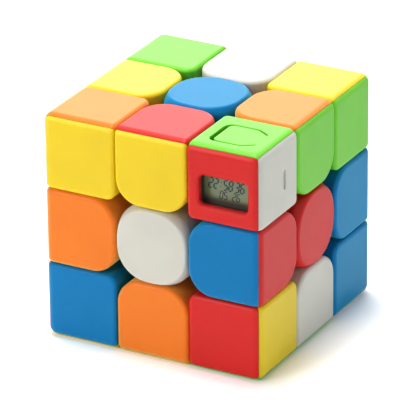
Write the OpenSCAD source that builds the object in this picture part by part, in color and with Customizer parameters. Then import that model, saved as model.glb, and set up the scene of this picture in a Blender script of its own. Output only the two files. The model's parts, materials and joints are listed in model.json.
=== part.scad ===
// Speed cube with a small timer built into one corner piece.
// The origin is the centre of the core, +Z is up, the timer's display faces -Y.
// Corner, edge and centre pieces are drawn once, in the +X +Y +Z octant, and then placed.

/* [Cube] */
// Length of the cube's side
cube_side = 56; // [54.5:0.5:60]
// Running gap between pieces that turn past each other
turn_gap = 0.2; // [0.16:0.02:0.3]
// Hairline seam between the moulded shells of one piece
seam_gap = 0.06; // [0.04:0.01:0.12]

/* [Coloured shells] */
// Wall of every moulded shell
shell_wall = 1.5; // [1.2:0.1:1.7]
// Rounding of the cube's outer edges
outer_round = 2.2; // [1.6:0.1:2.6]
// Rounding of the edges along the seams
seam_round = 1; // [0.6:0.1:1.4]
// Corner radius of an edge piece next to the centre piece
edge_inner_round = 6.2; // [5:0.1:7]
// Corner radius of a corner piece next to the centre piece
corner_inner_round = 2.3; // [1.6:0.1:3]

/* [Centre pieces] */
// Corner radius of a centre piece's body
centre_round = 6.5; // [5.5:0.1:7.5]
// Diameter of the flat top of a cap
cap_flat_d = 16.8; // [15.6:0.1:17.2]
// Rounding of a cap's rim
cap_rim_round = 0.8; // [0.6:0.1:1.2]
// Slope of a cap's side, from the upright
cap_side_slope = 32; // [24:1:40]
// Height of a cap
cap_h = 3.2; // [2.8:0.1:4]
// Diameter of the cup under a cap
cup_d = 14.6; // [13:0.1:15]
// Depth of the ring that holds a cap in its cup
cap_spigot_h = 1.6; // [1:0.1:2]
// Wall of that ring
cap_spigot_wall = 1.1; // [0.8:0.1:1.4]

/* [Turning mechanism] */
// Radius of the track that the corner feet run under
corner_track_r = 19; // [18.6:0.1:19.4]
// Radius of the track that the edge feet run under
edge_track_r = 14.5; // [14.2:0.1:14.8]
// Radius of the free space around the core ball
core_space_r = 10.5; // [10:0.1:11]
// Distance of the corner feet's sides from the middle planes
corner_foot_side = 6.5; // [6:0.1:7]
// Distance of the edge feet's sides from the middle planes
edge_foot_side = 4.2; // [4.1:0.1:4.6]
// How far a foot's stem runs into its shell
stem_root = 0.6; // [0.4:0.1:0.9]

/* [Core and axles] */
// Diameter of the core ball
core_ball_d = 17; // [15:0.5:19]
// Diameter of the core's arms
arm_d = 5.6; // [5:0.1:5.8]
// Distance from the middle to the end of an arm
arm_reach = 12.5; // [12:0.1:13]
// Free play between an arm and its centre piece
arm_play = 0.2; // [0.15:0.05:0.3]
// Floor of a centre piece between the arm and the spring
web_t = 1.5; // [1.2:0.1:1.8]
// Shaft diameter of the axle screws
screw_d = 2.5; // [2:0.1:2.8]
// Depth of the screws in the arms
screw_hold = 7; // [5:0.5:8]
// Diameter of the screw heads
screw_head_d = 5.2; // [4.6:0.1:5.6]
// Height of the screw heads
screw_head_h = 1.4; // [1:0.1:1.8]
// Width across the flats of the screw socket
screw_socket = 2; // [1.5:0.1:2.5]
// Outer diameter of the tension springs
spring_d = 5.2; // [4.6:0.1:5.4]
// Wire thickness of the tension springs
spring_wire = 0.6; // [0.4:0.1:0.8]
// Fitted length of the tension springs
spring_len = 4; // [3:0.1:4.5]
// Outer diameter of the washers
washer_d = 5.6; // [5:0.1:5.8]
// Thickness of the washers
washer_t = 0.4; // [0.3:0.1:0.6]

/* [Display window] */
// Distance from the corner piece's left side to the opening
window_left = 3.03; // [2.8:0.01:3.4]
// Distance from the opening to the cube's right side
window_right = 3.22; // [2.9:0.01:3.6]
// Distance from the cube's top to the opening
window_top = 7.32; // [7:0.01:7.6]
// Distance from the opening to the corner piece's underside
window_bottom = 4.02; // [3.8:0.01:4.6]
// Corner radius of the opening
window_round = 1.3; // [0.8:0.1:1.8]
// Width of the bevel around the opening
window_bevel = 0.45; // [0.3:0.05:0.8]
// Depth of that bevel
window_bevel_depth = 0.5; // [0.3:0.05:0.9]

/* [Display and circuit] */
// How far the display's glass is wider than the window
panel_margin_w = 1.5; // [1:0.1:1.6]
// How far the display's glass is higher than the window
panel_margin_h = 2; // [1.6:0.1:2.4]
// Thickness of the display's glass
panel_t = 1.4; // [1.1:0.1:1.6]
// Thickness of the dark gasket in front of the display
gasket_t = 1.6; // [1.2:0.1:1.8]
// Width of the gasket's rim
gasket_rim = 0.6; // [0.4:0.1:0.7]
// Distance from the board's ends to the rubber contact strip
strip_inset = 0.7; // [0.5:0.1:1.5]
// Height of the rubber contact strip
strip_h = 1.6; // [1.2:0.1:2]
// Distance between the display and the circuit board
strip_t = 1.5; // [1.2:0.1:1.8]
// Room between the circuit board and the coin cell's ring
board_side_gap = 0.9; // [0.6:0.1:1.5]
// Room above the circuit board
board_top_gap = 1.8; // [1.4:0.1:2.4]
// Thickness of the circuit board
board_t = 0.8; // [0.6:0.1:1]
// Play around the parts that sit in the timer's frame
fit_play = 0.12; // [0.08:0.02:0.2]
// Depth of the groove that holds the board
board_groove = 0.5; // [0.3:0.1:0.8]

/* [Button and switch] */
// Distance from the corner piece's left side to the button's free end
button_left = 4.33; // [4:0.01:4.6]
// Distance from the button's hinge to the cube's right side
button_right = 4.15; // [3.9:0.01:4.6]
// Length over which the button narrows towards its hinge
button_taper = 3.15; // [2.8:0.05:3.8]
// Distance from the cube's front to the middle of the button
button_middle = 9; // [8.6:0.1:9.6]
// Width of the button
button_w = 9.3; // [9:0.1:9.8]
// Width of the button at its hinge
button_hinge_w = 5.3; // [4.8:0.1:5.6]
// Corner radius of the button's free end
button_round = 1.3; // [0.8:0.1:1.6]
// Thickness of the button
button_t = 1.2; // [1:0.1:1.4]
// Width of the slot along the button's sides
button_slot = 0.5; // [0.3:0.05:0.6]
// Width of the slot at the button's free end
button_end_slot = 1.05; // [0.9:0.05:1.2]
// Diameter of the peg under the button
peg_d = 2.2; // [1.8:0.1:2.6]
// Length of the peg below the top shell
peg_len = 2; // [1.6:0.1:2.4]
// Free play between the peg and the switch
peg_play = 0.1; // [0.06:0.02:0.16]
// Distance from the corner piece's left side to the switch plunger
plunger_left = 6.6; // [6.4:0.1:7.4]
// Width and depth of the switch
switch_w = 5; // [4.5:0.1:5.4]
// Height of the switch
switch_h = 3; // [2.5:0.1:3.4]
// Diameter of the switch plunger
plunger_d = 2; // [1.6:0.1:2.4]
// Height of the plunger above the switch
plunger_h = 1.1; // [0.9:0.1:1.3]
// Length of the plunger inside the switch
plunger_root = 1.2; // [0.8:0.1:1.5]
// Room under the plunger inside the switch
plunger_room = 0.8; // [0.6:0.1:1]

/* [Battery] */
// Room between the coin cell's ring and the display
cell_gap = 0.79; // [0.6:0.01:1.2]
// Thickness of the coin cell
cell_t = 2.7; // [2.4:0.1:3]
// Height of the cell's middle above the corner piece's underside
cell_up = 8.2; // [7.9:0.1:8.6]
// Wall of the ring around the cell
cell_ring_wall = 0.9; // [0.7:0.1:1.1]
// Distance from the cube's faces to the frame's plug, which fills the corner nearest the core
plug_depth = 5; // [4.6:0.1:5.6]
// Thickness of the contact leaves
contact_t = 0.2; // [0.15:0.05:0.3]
// Width of the contact leaves
contact_w = 3; // [2.4:0.1:4]
// Length of the contact leaves
contact_len = 2.2; // [1.8:0.1:2.4]
// Width of the pry slot in the battery cover
pry_slot_w = 1.1; // [0.8:0.1:1.3]
// Length of the pry slot
pry_slot_len = 4.8; // [4:0.1:6]
// Depth of the pry slot
pry_slot_depth = 1.1; // [0.8:0.05:1.15]
// Distance from the cube's front to the middle of the pry slot
pry_slot_back = 12.2; // [12:0.1:14]
// Distance from the cube's top to the middle of the pry slot
pry_slot_down = 10.1; // [9:0.1:11]

/* [Hidden] */
// Play between one face and another, on each side of a running gap
run = turn_gap / 2;
seam = seam_gap / 2;
half = cube_side / 2;
layer = cube_side / 6;
// Nearest corner of a corner piece's cell, and the half width of an edge piece's cell
cell_lo = layer + run;
cell_in = layer - run;
// Sharp inner edges keep this small radius
tiny_round = 0.3;
// Reach of the cutting solids, past the cube's corners
far = 2 * half;
eps = 0.05;

// Levels along an axle, from the middle of the core
web_lo = arm_reach + arm_play;
web_hi = web_lo + web_t;
spring_lo = web_hi + seam;
washer_lo = spring_lo + spring_len + seam;
head_lo = washer_lo + washer_t + seam;
cap_lo = half - cap_h;
cup_lo = corner_track_r + run + shell_wall;

// Inside of the timer's corner piece
corner_side = half - layer;
room_depth = shell_wall + fit_play;
room_lo = cell_lo + room_depth;
room_hi = half - room_depth;
plug_r = half - plug_depth;

// Sizes and places in the timer, with Y running forward to the display's face
window_w = corner_side - window_left - window_right;
window_h = corner_side - window_top - window_bottom;
window_x = layer + window_left + window_w / 2;
window_z = half - window_top - window_h / 2;
panel_w = window_w + panel_margin_w;
panel_h = window_h + panel_margin_h;
gasket_hi = room_hi;
panel_hi = gasket_hi - gasket_t;
panel_lo = panel_hi - panel_t;
board_hi = panel_lo - strip_t;
board_lo = board_hi - board_t;
panel_bottom = window_z - panel_h / 2;
deck_hi = panel_bottom - fit_play;
button_x = layer + button_left;
hinge_x = half - button_right;
taper_x = hinge_x - button_taper;
button_y = half - button_middle;
plunger_x = layer + plunger_left;
plunger_y = board_lo - fit_play - switch_w / 2;
peg_lo = half - shell_wall - peg_len;
plunger_top = peg_lo - peg_play;
switch_hi = plunger_top - plunger_h;
ring_d = panel_lo - cell_gap - room_lo;
cell_d = ring_d - 2 * (cell_ring_wall + fit_play);
cell_y = room_lo + ring_d / 2;
cell_z = layer + cell_up;
cell_hi = room_hi - fit_play;
cell_back = cell_hi - cell_t;
contact_back = cell_back - seam;
ring_back = contact_back - contact_t;
board_bottom = deck_hi - board_groove + seam;
board_w = ring_back - board_side_gap - room_lo;
board_h = room_hi - board_top_gap - board_bottom;

YELLOW = "#f5dc33";
ORANGE = "#ff8a2a";
BLUE = "#1a82c4";
RED = "#d7302e";
WHITE = "#e4e2d8";
GREEN = "#6fc44a";
COLOURS = [["yellow", YELLOW], ["orange", ORANGE], ["blue", BLUE],
    ["red", RED], ["white", WHITE], ["green", GREEN]];

// Edge pieces: name, turns of the axes, mirror signs, then name and colour of the two shells.
// With no turn the piece runs along X and its shells face Y and Z.
UPPER_EDGES = [
    ["upper_front_edge", 0, [1, -1, 1], ["front", YELLOW], ["top", RED]],
    ["upper_back_edge", 0, [1, 1, 1], ["back", RED], ["top", WHITE]],
    ["upper_right_edge", 1, [1, 1, 1], ["top", ORANGE], ["right", GREEN]],
    ["upper_left_edge", 1, [-1, 1, 1], ["top", YELLOW], ["left", GREEN]]];
MIDDLE_EDGES = [
    ["front_right_edge", 2, [1, -1, 1], ["right", RED], ["front", BLUE]],
    ["front_left_edge", 2, [-1, -1, 1], ["left", WHITE], ["front", ORANGE]],
    ["back_right_edge", 2, [1, 1, 1], ["right", BLUE], ["back", ORANGE]],
    ["back_left_edge", 2, [-1, 1, 1], ["left", GREEN], ["back", RED]]];
LOWER_EDGES = [
    ["lower_front_edge", 0, [1, -1, -1], ["front", ORANGE], ["bottom", YELLOW]],
    ["lower_back_edge", 0, [1, 1, -1], ["back", WHITE], ["bottom", BLUE]],
    ["lower_right_edge", 1, [1, 1, -1], ["bottom", GREEN], ["right", WHITE]],
    ["lower_left_edge", 1, [-1, 1, -1], ["bottom", BLUE], ["left", YELLOW]]];
// Corner pieces: name, mirror signs, then name and colour of the shells that face X, Y and Z
UPPER_CORNERS = [
    ["front_left_corner", [-1, -1, 1], ["left", BLUE], ["front", YELLOW], ["top", ORANGE]],
    ["back_right_corner", [1, 1, 1], ["right", GREEN], ["back", ORANGE], ["top", YELLOW]],
    ["back_left_corner", [-1, 1, 1], ["left", ORANGE], ["back", WHITE], ["top", GREEN]]];
LOWER_CORNERS = [
    ["lower_front_right_corner", [1, -1, -1], ["right", YELLOW], ["front", RED], ["bottom", GREEN]],
    ["lower_front_left_corner", [-1, -1, -1], ["left", RED], ["front", BLUE], ["bottom", YELLOW]],
    ["lower_back_right_corner", [1, 1, -1], ["right", BLUE], ["back", RED], ["bottom", WHITE]],
    ["lower_back_left_corner", [-1, 1, -1], ["left", BLUE], ["back", ORANGE], ["bottom", WHITE]]];
// Centre pieces: name, rotation from +Z, colour
CENTRES = [
    ["front_centre", [90, 0, 0], WHITE],
    ["right_centre", [0, 90, 0], RED],
    ["back_centre", [-90, 0, 0], YELLOW],
    ["left_centre", [0, -90, 0], ORANGE],
    ["upper_centre", [0, 0, 0], BLUE],
    ["lower_centre", [180, 0, 0], GREEN]];
AXLES = [for (centre = CENTRES) centre[1]];
TIMER_PARTS = ["timer_front_shell", "timer_top_shell", "timer_button", "battery_cover",
    "timer_frame", "display_gasket", "display_panel", "contact_strip", "circuit_board",
    "push_switch", "switch_plunger", "coin_cell", "battery_contacts"];

// Turns the axes round once per count: X to Y, Y to Z, Z to X
module turned(count) {
    rotate(120 * count, [1, 1, 1]) children();
}

// Mirrors into another octant
module signed(signs) {
    mirror([signs[0] < 0 ? 1 : 0, 0, 0])
        mirror([0, signs[1] < 0 ? 1 : 0, 0])
            mirror([0, 0, signs[2] < 0 ? 1 : 0])
                children();
}

// Rectangle with a radius for each corner, from the lower left one round
module outline(lo, hi, r, sides = 64) {
    polygon([
        [lo[0] + r[0], lo[1]], [hi[0] - r[1], lo[1]],
        [hi[0], lo[1] + r[1]], [hi[0], hi[1] - r[2]],
        [hi[0] - r[2], hi[1]], [lo[0] + r[3], hi[1]],
        [lo[0], hi[1] - r[3]], [lo[0], lo[1] + r[0]]]);
    centres = [
        [lo[0] + r[0], lo[1] + r[0]], [hi[0] - r[1], lo[1] + r[1]],
        [hi[0] - r[2], hi[1] - r[2]], [lo[0] + r[3], hi[1] - r[3]]];
    for (i = [0:3])
        translate(centres[i]) circle(r[i], $fn = sides);
}

// Extrudes an outline that is seen along Z, X or Y, over the whole cube
module along_z() {
    translate([0, 0, -far]) linear_extrude(2 * far) children();
}
module along_x() {
    turned(1) along_z() children();
}
module along_y() {
    turned(2) along_z() mirror([1, -1]) children();
}

module ball(r) {
    sphere(r, $fn = 96);
}

// Space on the outer side of a plane through the middle, seen from the Y and the Z side
module y_over_z(offset_by) {
    rotate([-45, 0, 0]) translate([-far, offset_by, -far]) cube(2 * far);
}
module z_over_y(offset_by) {
    rotate([45, 0, 0]) translate([-far, -far, offset_by]) cube(2 * far);
}
// The third of a corner piece's cell that lies nearest the Z face
module z_third() {
    intersection() {
        z_over_y(seam);
        rotate([0, -45, 0]) translate([-far, -far, seam]) cube(2 * far);
    }
}

// ---- Corner pieces ----

// Outer form of a corner piece, or of its hollow at a wall's depth
module corner_block(depth) {
    lo = cell_lo + depth;
    hi = half - depth;
    r = [for (full = [corner_inner_round, seam_round, outer_round, seam_round])
        max(full - depth, tiny_round)];
    intersection() {
        along_z() outline([lo, lo], [hi, hi], r);
        along_x() outline([lo, lo], [hi, hi], r);
        along_y() outline([lo, lo], [hi, hi], r);
    }
}

// The three shells of a corner piece, still in one, open towards the core at a radius
module corner_shells(inner_r, inner_wall) {
    difference() {
        corner_block(0);
        difference() {
            corner_block(shell_wall);
            ball(inner_r + inner_wall);
        }
        ball(inner_r);
    }
}

// Everything beyond one distance along X, Y and Z
module octant_from(distance) {
    translate([distance, distance, distance]) cube(far);
}

module corner_foot() {
    difference() {
        intersection() {
            octant_from(corner_foot_side + run);
            ball(corner_track_r - run);
        }
        ball(edge_track_r + run);
    }
}

// Neck that joins a corner foot to its shell
module corner_stem(outer_r) {
    difference() {
        intersection() {
            octant_from(cell_lo);
            ball(outer_r);
        }
        ball(edge_track_r + run);
    }
}

// One shell of a corner piece: side 0 faces X, 1 faces Y and 2 faces Z and carries the foot
module corner_shell(side) {
    if (side == 2) {
        corner_foot();
        intersection() {
            union() {
                corner_shells(corner_track_r + run, shell_wall);
                corner_stem(corner_track_r + run + stem_root);
            }
            z_third();
        }
    } else {
        turned(side + 1) intersection() {
            corner_shells(corner_track_r + run, shell_wall);
            z_third();
        }
    }
}

// ---- Edge pieces ----

// Outer form of an edge piece that runs along X, or of its hollow at a wall's depth
module edge_block(depth) {
    side = cell_in - depth;
    lo = cell_lo + depth;
    hi = half - depth;
    inner = max(edge_inner_round - depth, tiny_round);
    rim = max(seam_round - depth, tiny_round);
    outer = max(outer_round - depth, tiny_round);
    intersection() {
        along_z() outline([-side, lo], [side, hi], [inner, inner, rim, rim]);
        along_y() outline([-side, lo], [side, hi], [inner, inner, rim, rim]);
        along_x() outline([lo, lo], [hi, hi], [tiny_round, rim, outer, rim]);
    }
}

module edge_shells() {
    difference() {
        edge_block(0);
        difference() {
            edge_block(shell_wall);
            ball(corner_track_r + run + shell_wall);
        }
        ball(corner_track_r + run);
    }
}

// Bar of a half width along X, beyond a distance along Y and Z, between two radii
module edge_bar(half_w, distance, lo_r, hi_r) {
    difference() {
        intersection() {
            translate([-half_w, distance, distance]) cube([2 * half_w, far, far]);
            ball(hi_r);
        }
        ball(lo_r);
    }
}

// Foot of an edge piece, in two steps, with the neck that joins them
module edge_foot() {
    wide = corner_foot_side;
    slim = edge_foot_side;
    edge_bar(wide - run, wide + run, edge_track_r + run, corner_track_r - run);
    edge_bar(slim - run, slim + run, core_space_r + run, edge_track_r - run);
    edge_bar(slim - run, wide + run, core_space_r + run, corner_track_r - run);
}

// One shell of an edge piece: side 0 faces Y and carries the foot, side 1 faces Z
module edge_shell(side) {
    if (side == 0) {
        edge_foot();
        intersection() {
            union() {
                edge_shells();
                edge_bar(corner_foot_side - run, cell_lo, edge_track_r + run,
                    corner_track_r + run + stem_root);
            }
            y_over_z(seam);
        }
    } else {
        intersection() {
            edge_shells();
            z_over_y(seam);
        }
    }
}

// ---- Centre pieces ----

// Square body with round corners, seen along the axle
module centre_outline() {
    outline([-cell_in, -cell_in], [cell_in, cell_in], [for (i = [0:3]) centre_round]);
}

// Square bar around the axle, outside a radius
module centre_bar(half_w, lo_r) {
    difference() {
        translate([-half_w, -half_w, 0]) cube([2 * half_w, 2 * half_w, cup_lo]);
        ball(lo_r);
    }
}

// Section of a centre piece: flat top, rounded rim, then a steep slope that trims its corners
module centre_section() {
    flat_r = cap_flat_d / 2;
    turn = 90 - cap_side_slope;
    rim_x = flat_r + cap_rim_round * sin(turn);
    rim_z = half - cap_rim_round * (1 - cos(turn));
    polygon([[0, 0], [rim_x + rim_z * tan(cap_side_slope), 0], [rim_x, rim_z],
        [flat_r, half - cap_rim_round], [flat_r, half], [0, half]]);
    intersection() {
        translate([flat_r, half - cap_rim_round]) circle(cap_rim_round, $fn = 64);
        polygon([[flat_r, half - cap_rim_round], [rim_x, rim_z],
            [rim_x + cap_rim_round, half + cap_rim_round], [flat_r, half + cap_rim_round]]);
    }
}

// Outer form of a centre piece between two levels
module centre_form(lo, hi) {
    intersection() {
        translate([0, 0, lo]) linear_extrude(hi - lo) centre_outline();
        rotate_extrude($fn = 96) centre_section();
    }
}

module centre_body() {
    bore_d = arm_d + 2 * arm_play;
    difference() {
        union() {
            difference() {
                centre_form(layer, cap_lo - seam);
                ball(corner_track_r + run);
            }
            centre_bar(corner_foot_side - run, edge_track_r + run);
            difference() {
                cylinder(r = edge_foot_side - run, h = cup_lo, $fn = 64);
                ball(core_space_r + run);
            }
        }
        translate([0, 0, -eps]) cylinder(d = bore_d, h = web_lo + eps, $fn = 64);
        cylinder(d = screw_d + 2 * arm_play, h = web_hi + eps, $fn = 48);
        translate([0, 0, web_hi]) cylinder(d = washer_d + 2 * arm_play, h = half, $fn = 64);
        translate([0, 0, cup_lo]) cylinder(d = cup_d, h = half, $fn = 96);
    }
}

module centre_cap() {
    spigot_r = cup_d / 2 - seam;
    spigot_lo = cap_lo - cap_spigot_h;
    difference() {
        union() {
            centre_form(cap_lo + seam, half + eps);
            translate([0, 0, spigot_lo]) cylinder(r = spigot_r, h = cap_spigot_h + cap_h / 2, $fn = 96);
        }
        translate([0, 0, spigot_lo - eps])
            cylinder(r = spigot_r - cap_spigot_wall, h = half - shell_wall - spigot_lo + eps, $fn = 96);
    }
}

// ---- Core, screws, springs, washers ----

module core() {
    color("#2b2b2e") difference() {
        union() {
            ball(core_ball_d / 2);
            for (axle = AXLES) rotate(axle) cylinder(d = arm_d, h = arm_reach, $fn = 64);
        }
        for (axle = AXLES) rotate(axle) translate([0, 0, arm_reach - screw_hold])
            cylinder(d = screw_d + seam_gap, h = screw_hold + 1, $fn = 48);
    }
}

module axle_screws() {
    for (axle = AXLES) color("#b9bcc0") rotate(axle) difference() {
        union() {
            translate([0, 0, arm_reach - screw_hold])
                cylinder(d = screw_d, h = head_lo - arm_reach + screw_hold + eps, $fn = 48);
            translate([0, 0, head_lo]) cylinder(d = screw_head_d, h = screw_head_h, $fn = 64);
        }
        translate([0, 0, head_lo + screw_head_h / 2])
            cylinder(d = screw_socket / cos(30), h = screw_head_h, $fn = 6);
    }
}

module tension_springs() {
    for (axle = AXLES) color("#c9ccd0") rotate(axle) translate([0, 0, spring_lo]) difference() {
        cylinder(d = spring_d, h = spring_len, $fn = 64);
        translate([0, 0, -eps]) cylinder(d = spring_d - 2 * spring_wire, h = spring_len + 1, $fn = 64);
    }
}

module spring_washers() {
    for (axle = AXLES) color("#9ea2a8") rotate(axle) translate([0, 0, washer_lo]) difference() {
        cylinder(d = washer_d, h = washer_t, $fn = 64);
        translate([0, 0, -eps]) cylinder(d = screw_d + arm_play, h = washer_t + 1, $fn = 48);
    }
}

// ---- Timer, with Y forward; timer_placed() mirrors it to the cube's front ----

module timer_placed() {
    mirror([0, 1, 0]) children();
}

module timer_shell(side) {
    turned(side + 1) intersection() {
        corner_shells(plug_r + seam, 0);
        z_third();
    }
}

module timer_front_shell() {
    color(RED) timer_placed() difference() {
        timer_shell(1);
        window_prism(half - shell_wall - 1, shell_wall + 2, 0, 64);
        hull() {
            window_prism(half, eps, window_bevel, 32);
            window_prism(half - window_bevel_depth - eps, eps, 0, 32);
        }
    }
}

// Window outline, grown by an amount, as a prism that starts at a distance from the middle
module window_prism(start, length, grow, sides) {
    w = window_w / 2 + grow;
    h = window_h / 2 + grow;
    translate([window_x, start + length, window_z]) rotate([90, 0, 0]) linear_extrude(length)
        outline([-w, -h], [w, h], [for (i = [0:3]) window_round + grow], sides);
}

// Button outline, or the opening around it, as seen from above
module button_outline(side_gap, end_gap, hinge_gap) {
    x0 = button_x - end_gap;
    x1 = hinge_x + hinge_gap;
    w = button_w / 2 + side_gap;
    n = button_hinge_w / 2 + side_gap;
    r = button_round + side_gap;
    translate([0, button_y]) {
        polygon([
            [x0, r - w], [x0 + r, -w], [taper_x, -w], [x1, -n],
            [x1, n], [taper_x, w], [x0 + r, w], [x0, w - r]]);
        for (corner_y = [r - w, w - r])
            translate([x0 + r, corner_y]) circle(r, $fn = 48);
    }
}

module timer_top_shell() {
    color(GREEN) timer_placed() difference() {
        timer_shell(2);
        translate([0, 0, half - shell_wall - 1]) linear_extrude(shell_wall + 2)
            button_outline(button_slot, button_end_slot, seam);
    }
}

module timer_button() {
    color(GREEN) timer_placed() {
        translate([0, 0, half - button_t]) linear_extrude(button_t)
            button_outline(0, 0, -seam);
        translate([plunger_x, plunger_y, peg_lo])
            cylinder(d = peg_d, h = half - button_t / 2 - peg_lo, $fn = 48);
    }
}

module battery_cover() {
    slot_y = half - pry_slot_back;
    slot_z = half - pry_slot_down;
    reach = (pry_slot_len - pry_slot_w) / 2;
    color(WHITE) timer_placed() difference() {
        timer_shell(0);
        translate([half - pry_slot_depth, slot_y, slot_z]) {
            translate([0, -pry_slot_w / 2, -reach]) cube([far, pry_slot_w, 2 * reach]);
            for (end = [-reach, reach]) translate([0, 0, end])
                rotate([0, 90, 0]) cylinder(d = pry_slot_w, h = far, $fn = 32);
        }
    }
}

// Box in the timer's room, from one corner to the other
module room_box(lo, hi) {
    translate(lo) cube(hi - lo);
}

// Room inside the timer's shells, with their inner roundings, up to three planes
module timer_room(hi) {
    intersection() {
        corner_block(room_depth);
        room_box([0, 0, 0], hi);
    }
}

module timer_frame() {
    color("#242427") timer_placed() difference() {
        union() {
            corner_foot();
            corner_stem(corner_track_r + run + stem_root);
            difference() {
                intersection() {
                    corner_block(0);
                    ball(plug_r - seam);
                }
                ball(corner_track_r + run);
            }
            timer_room([far, panel_hi, deck_hi]);
            intersection() {
                translate([ring_back, cell_y, cell_z]) rotate([0, 90, 0])
                    cylinder(d = ring_d, h = cell_hi - ring_back, $fn = 96);
                timer_room([far, far, far]);
            }
        }
        translate([cell_back, cell_y, cell_z]) rotate([0, 90, 0])
            cylinder(d = cell_d + 2 * fit_play, h = far, $fn = 96);
        translate([ring_back - eps, cell_y, cell_z]) rotate([0, 90, 0])
            cylinder(d = cell_d - 2 * cell_ring_wall, h = far, $fn = 96);
        // Notch for the contact leaf on the cell's rim
        translate([ring_back - eps, cell_y - contact_w / 2 - fit_play, cell_z + cell_d / 2 - contact_len])
            cube([far, contact_w + 2 * fit_play, 2 * contact_len]);
        // Groove for the circuit board
        room_box([0, board_lo - fit_play, deck_hi - board_groove],
            [room_lo + board_w + 2 * fit_play, board_hi + fit_play, far]);
    }
}

module display_gasket() {
    color("#17181a") timer_placed() difference() {
        room_box([window_x - panel_w / 2, panel_hi + seam, panel_bottom],
            [window_x + panel_w / 2, gasket_hi, panel_bottom + panel_h]);
        room_box([window_x - panel_w / 2 + gasket_rim, panel_hi - 1, panel_bottom + gasket_rim],
            [window_x + panel_w / 2 - gasket_rim, far, panel_bottom + panel_h - gasket_rim]);
    }
}

module display_panel() {
    color("#8b937a") timer_placed()
        room_box([window_x - panel_w / 2, panel_lo, panel_bottom],
            [window_x + panel_w / 2, panel_hi, panel_bottom + panel_h]);
}

module contact_strip() {
    color("#5b4a52") timer_placed()
        room_box([room_lo + strip_inset, board_hi + seam, panel_bottom + seam],
            [room_lo + board_w - strip_inset, panel_lo - seam, panel_bottom + strip_h]);
}

module circuit_board() {
    color("#1f6b3c") timer_placed()
        room_box([room_lo, board_lo, board_bottom],
            [room_lo + board_w, board_hi, board_bottom + board_h]);
}

module push_switch() {
    color("#3a3a3e") timer_placed() difference() {
        room_box([plunger_x - switch_w / 2, plunger_y - switch_w / 2, switch_hi - switch_h],
            [plunger_x + switch_w / 2, board_lo - seam, switch_hi]);
        translate([plunger_x, plunger_y, switch_hi - plunger_root - plunger_room])
            cylinder(d = plunger_d + 2 * fit_play, h = far, $fn = 48);
    }
}

module switch_plunger() {
    color("#c8c3b4") timer_placed() translate([plunger_x, plunger_y, switch_hi - plunger_root])
        cylinder(d = plunger_d, h = plunger_root + plunger_h, $fn = 48);
}

module coin_cell() {
    color("#c3c6ca") timer_placed() translate([cell_back, cell_y, cell_z]) rotate([0, 90, 0])
        cylinder(d = cell_d, h = cell_t, $fn = 96);
}

// One leaf behind the cell, and one on its rim
module battery_contacts() {
    color("#c9a54a") timer_placed() {
        room_box([ring_back, cell_y - contact_w / 2, cell_z - contact_len],
            [contact_back, cell_y + contact_w / 2, cell_z + contact_len]);
        room_box([cell_back, cell_y - contact_w / 2, cell_z + cell_d / 2 + seam],
            [cell_hi, cell_y + contact_w / 2, cell_z + cell_d / 2 + seam + contact_t]);
    }
}

// ---- Nodes ----

core();
axle_screws();
tension_springs();
spring_washers();

for (centre = CENTRES) {
    color(centre[2]) rotate(centre[1]) centre_body();
    color(centre[2]) rotate(centre[1]) centre_cap();
}

for (edge = concat(MIDDLE_EDGES, UPPER_EDGES), side = [0, 1])
    color(edge[side + 3][1]) signed(edge[2]) turned(edge[1]) edge_shell(side);

for (corner = UPPER_CORNERS, side = [0:2])
    color(corner[side + 2][1]) signed(corner[1]) corner_shell(side);

timer_front_shell();
timer_top_shell();
timer_button();
battery_cover();
timer_frame();
display_gasket();
display_panel();
contact_strip();
circuit_board();
push_switch();
switch_plunger();
coin_cell();
battery_contacts();

// The lower layer's shells, one node for each colour
for (colour = COLOURS)
    union() {
        for (edge = LOWER_EDGES, side = [0, 1])
            if (edge[side + 3][1] == colour[1])
                color(colour[1]) signed(edge[2]) turned(edge[1]) edge_shell(side);
        for (corner = LOWER_CORNERS, side = [0:2])
            if (corner[side + 2][1] == colour[1])
                color(colour[1]) signed(corner[1]) corner_shell(side);
    }
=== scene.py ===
"""Dresses the speed cube and the timer in its corner piece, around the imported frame."""
import json
import logging
import math
from dataclasses import dataclass, field
from enum import Enum
from typing import Callable, Iterable, Sequence

import bmesh
import bpy
from mathutils import Matrix, Vector

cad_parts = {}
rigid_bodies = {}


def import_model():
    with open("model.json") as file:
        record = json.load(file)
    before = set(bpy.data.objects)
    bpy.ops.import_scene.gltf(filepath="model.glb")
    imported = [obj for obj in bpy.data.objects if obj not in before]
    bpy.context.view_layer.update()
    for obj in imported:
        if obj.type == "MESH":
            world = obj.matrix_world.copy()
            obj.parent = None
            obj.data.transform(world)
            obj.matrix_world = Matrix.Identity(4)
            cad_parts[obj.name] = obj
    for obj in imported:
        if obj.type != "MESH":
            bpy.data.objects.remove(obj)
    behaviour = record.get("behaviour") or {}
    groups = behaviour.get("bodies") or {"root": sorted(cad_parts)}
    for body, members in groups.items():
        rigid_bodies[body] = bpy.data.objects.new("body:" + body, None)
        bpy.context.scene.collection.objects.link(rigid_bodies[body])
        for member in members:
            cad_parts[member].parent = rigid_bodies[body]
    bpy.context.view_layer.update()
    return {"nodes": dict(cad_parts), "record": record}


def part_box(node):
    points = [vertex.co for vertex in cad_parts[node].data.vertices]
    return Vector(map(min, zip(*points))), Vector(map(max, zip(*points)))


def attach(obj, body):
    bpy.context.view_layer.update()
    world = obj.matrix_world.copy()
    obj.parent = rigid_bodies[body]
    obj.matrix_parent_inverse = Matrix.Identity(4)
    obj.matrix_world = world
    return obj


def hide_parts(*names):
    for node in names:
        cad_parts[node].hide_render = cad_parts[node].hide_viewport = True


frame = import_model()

LOG = logging.getLogger("speed_cube")
MM = 0.001
Point2 = tuple[float, float]
Point3 = tuple[float, float, float]
Signs = tuple[int, int, int]
Colour = tuple[float, float, float]
Floor = Callable[[float, float], float]


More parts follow.
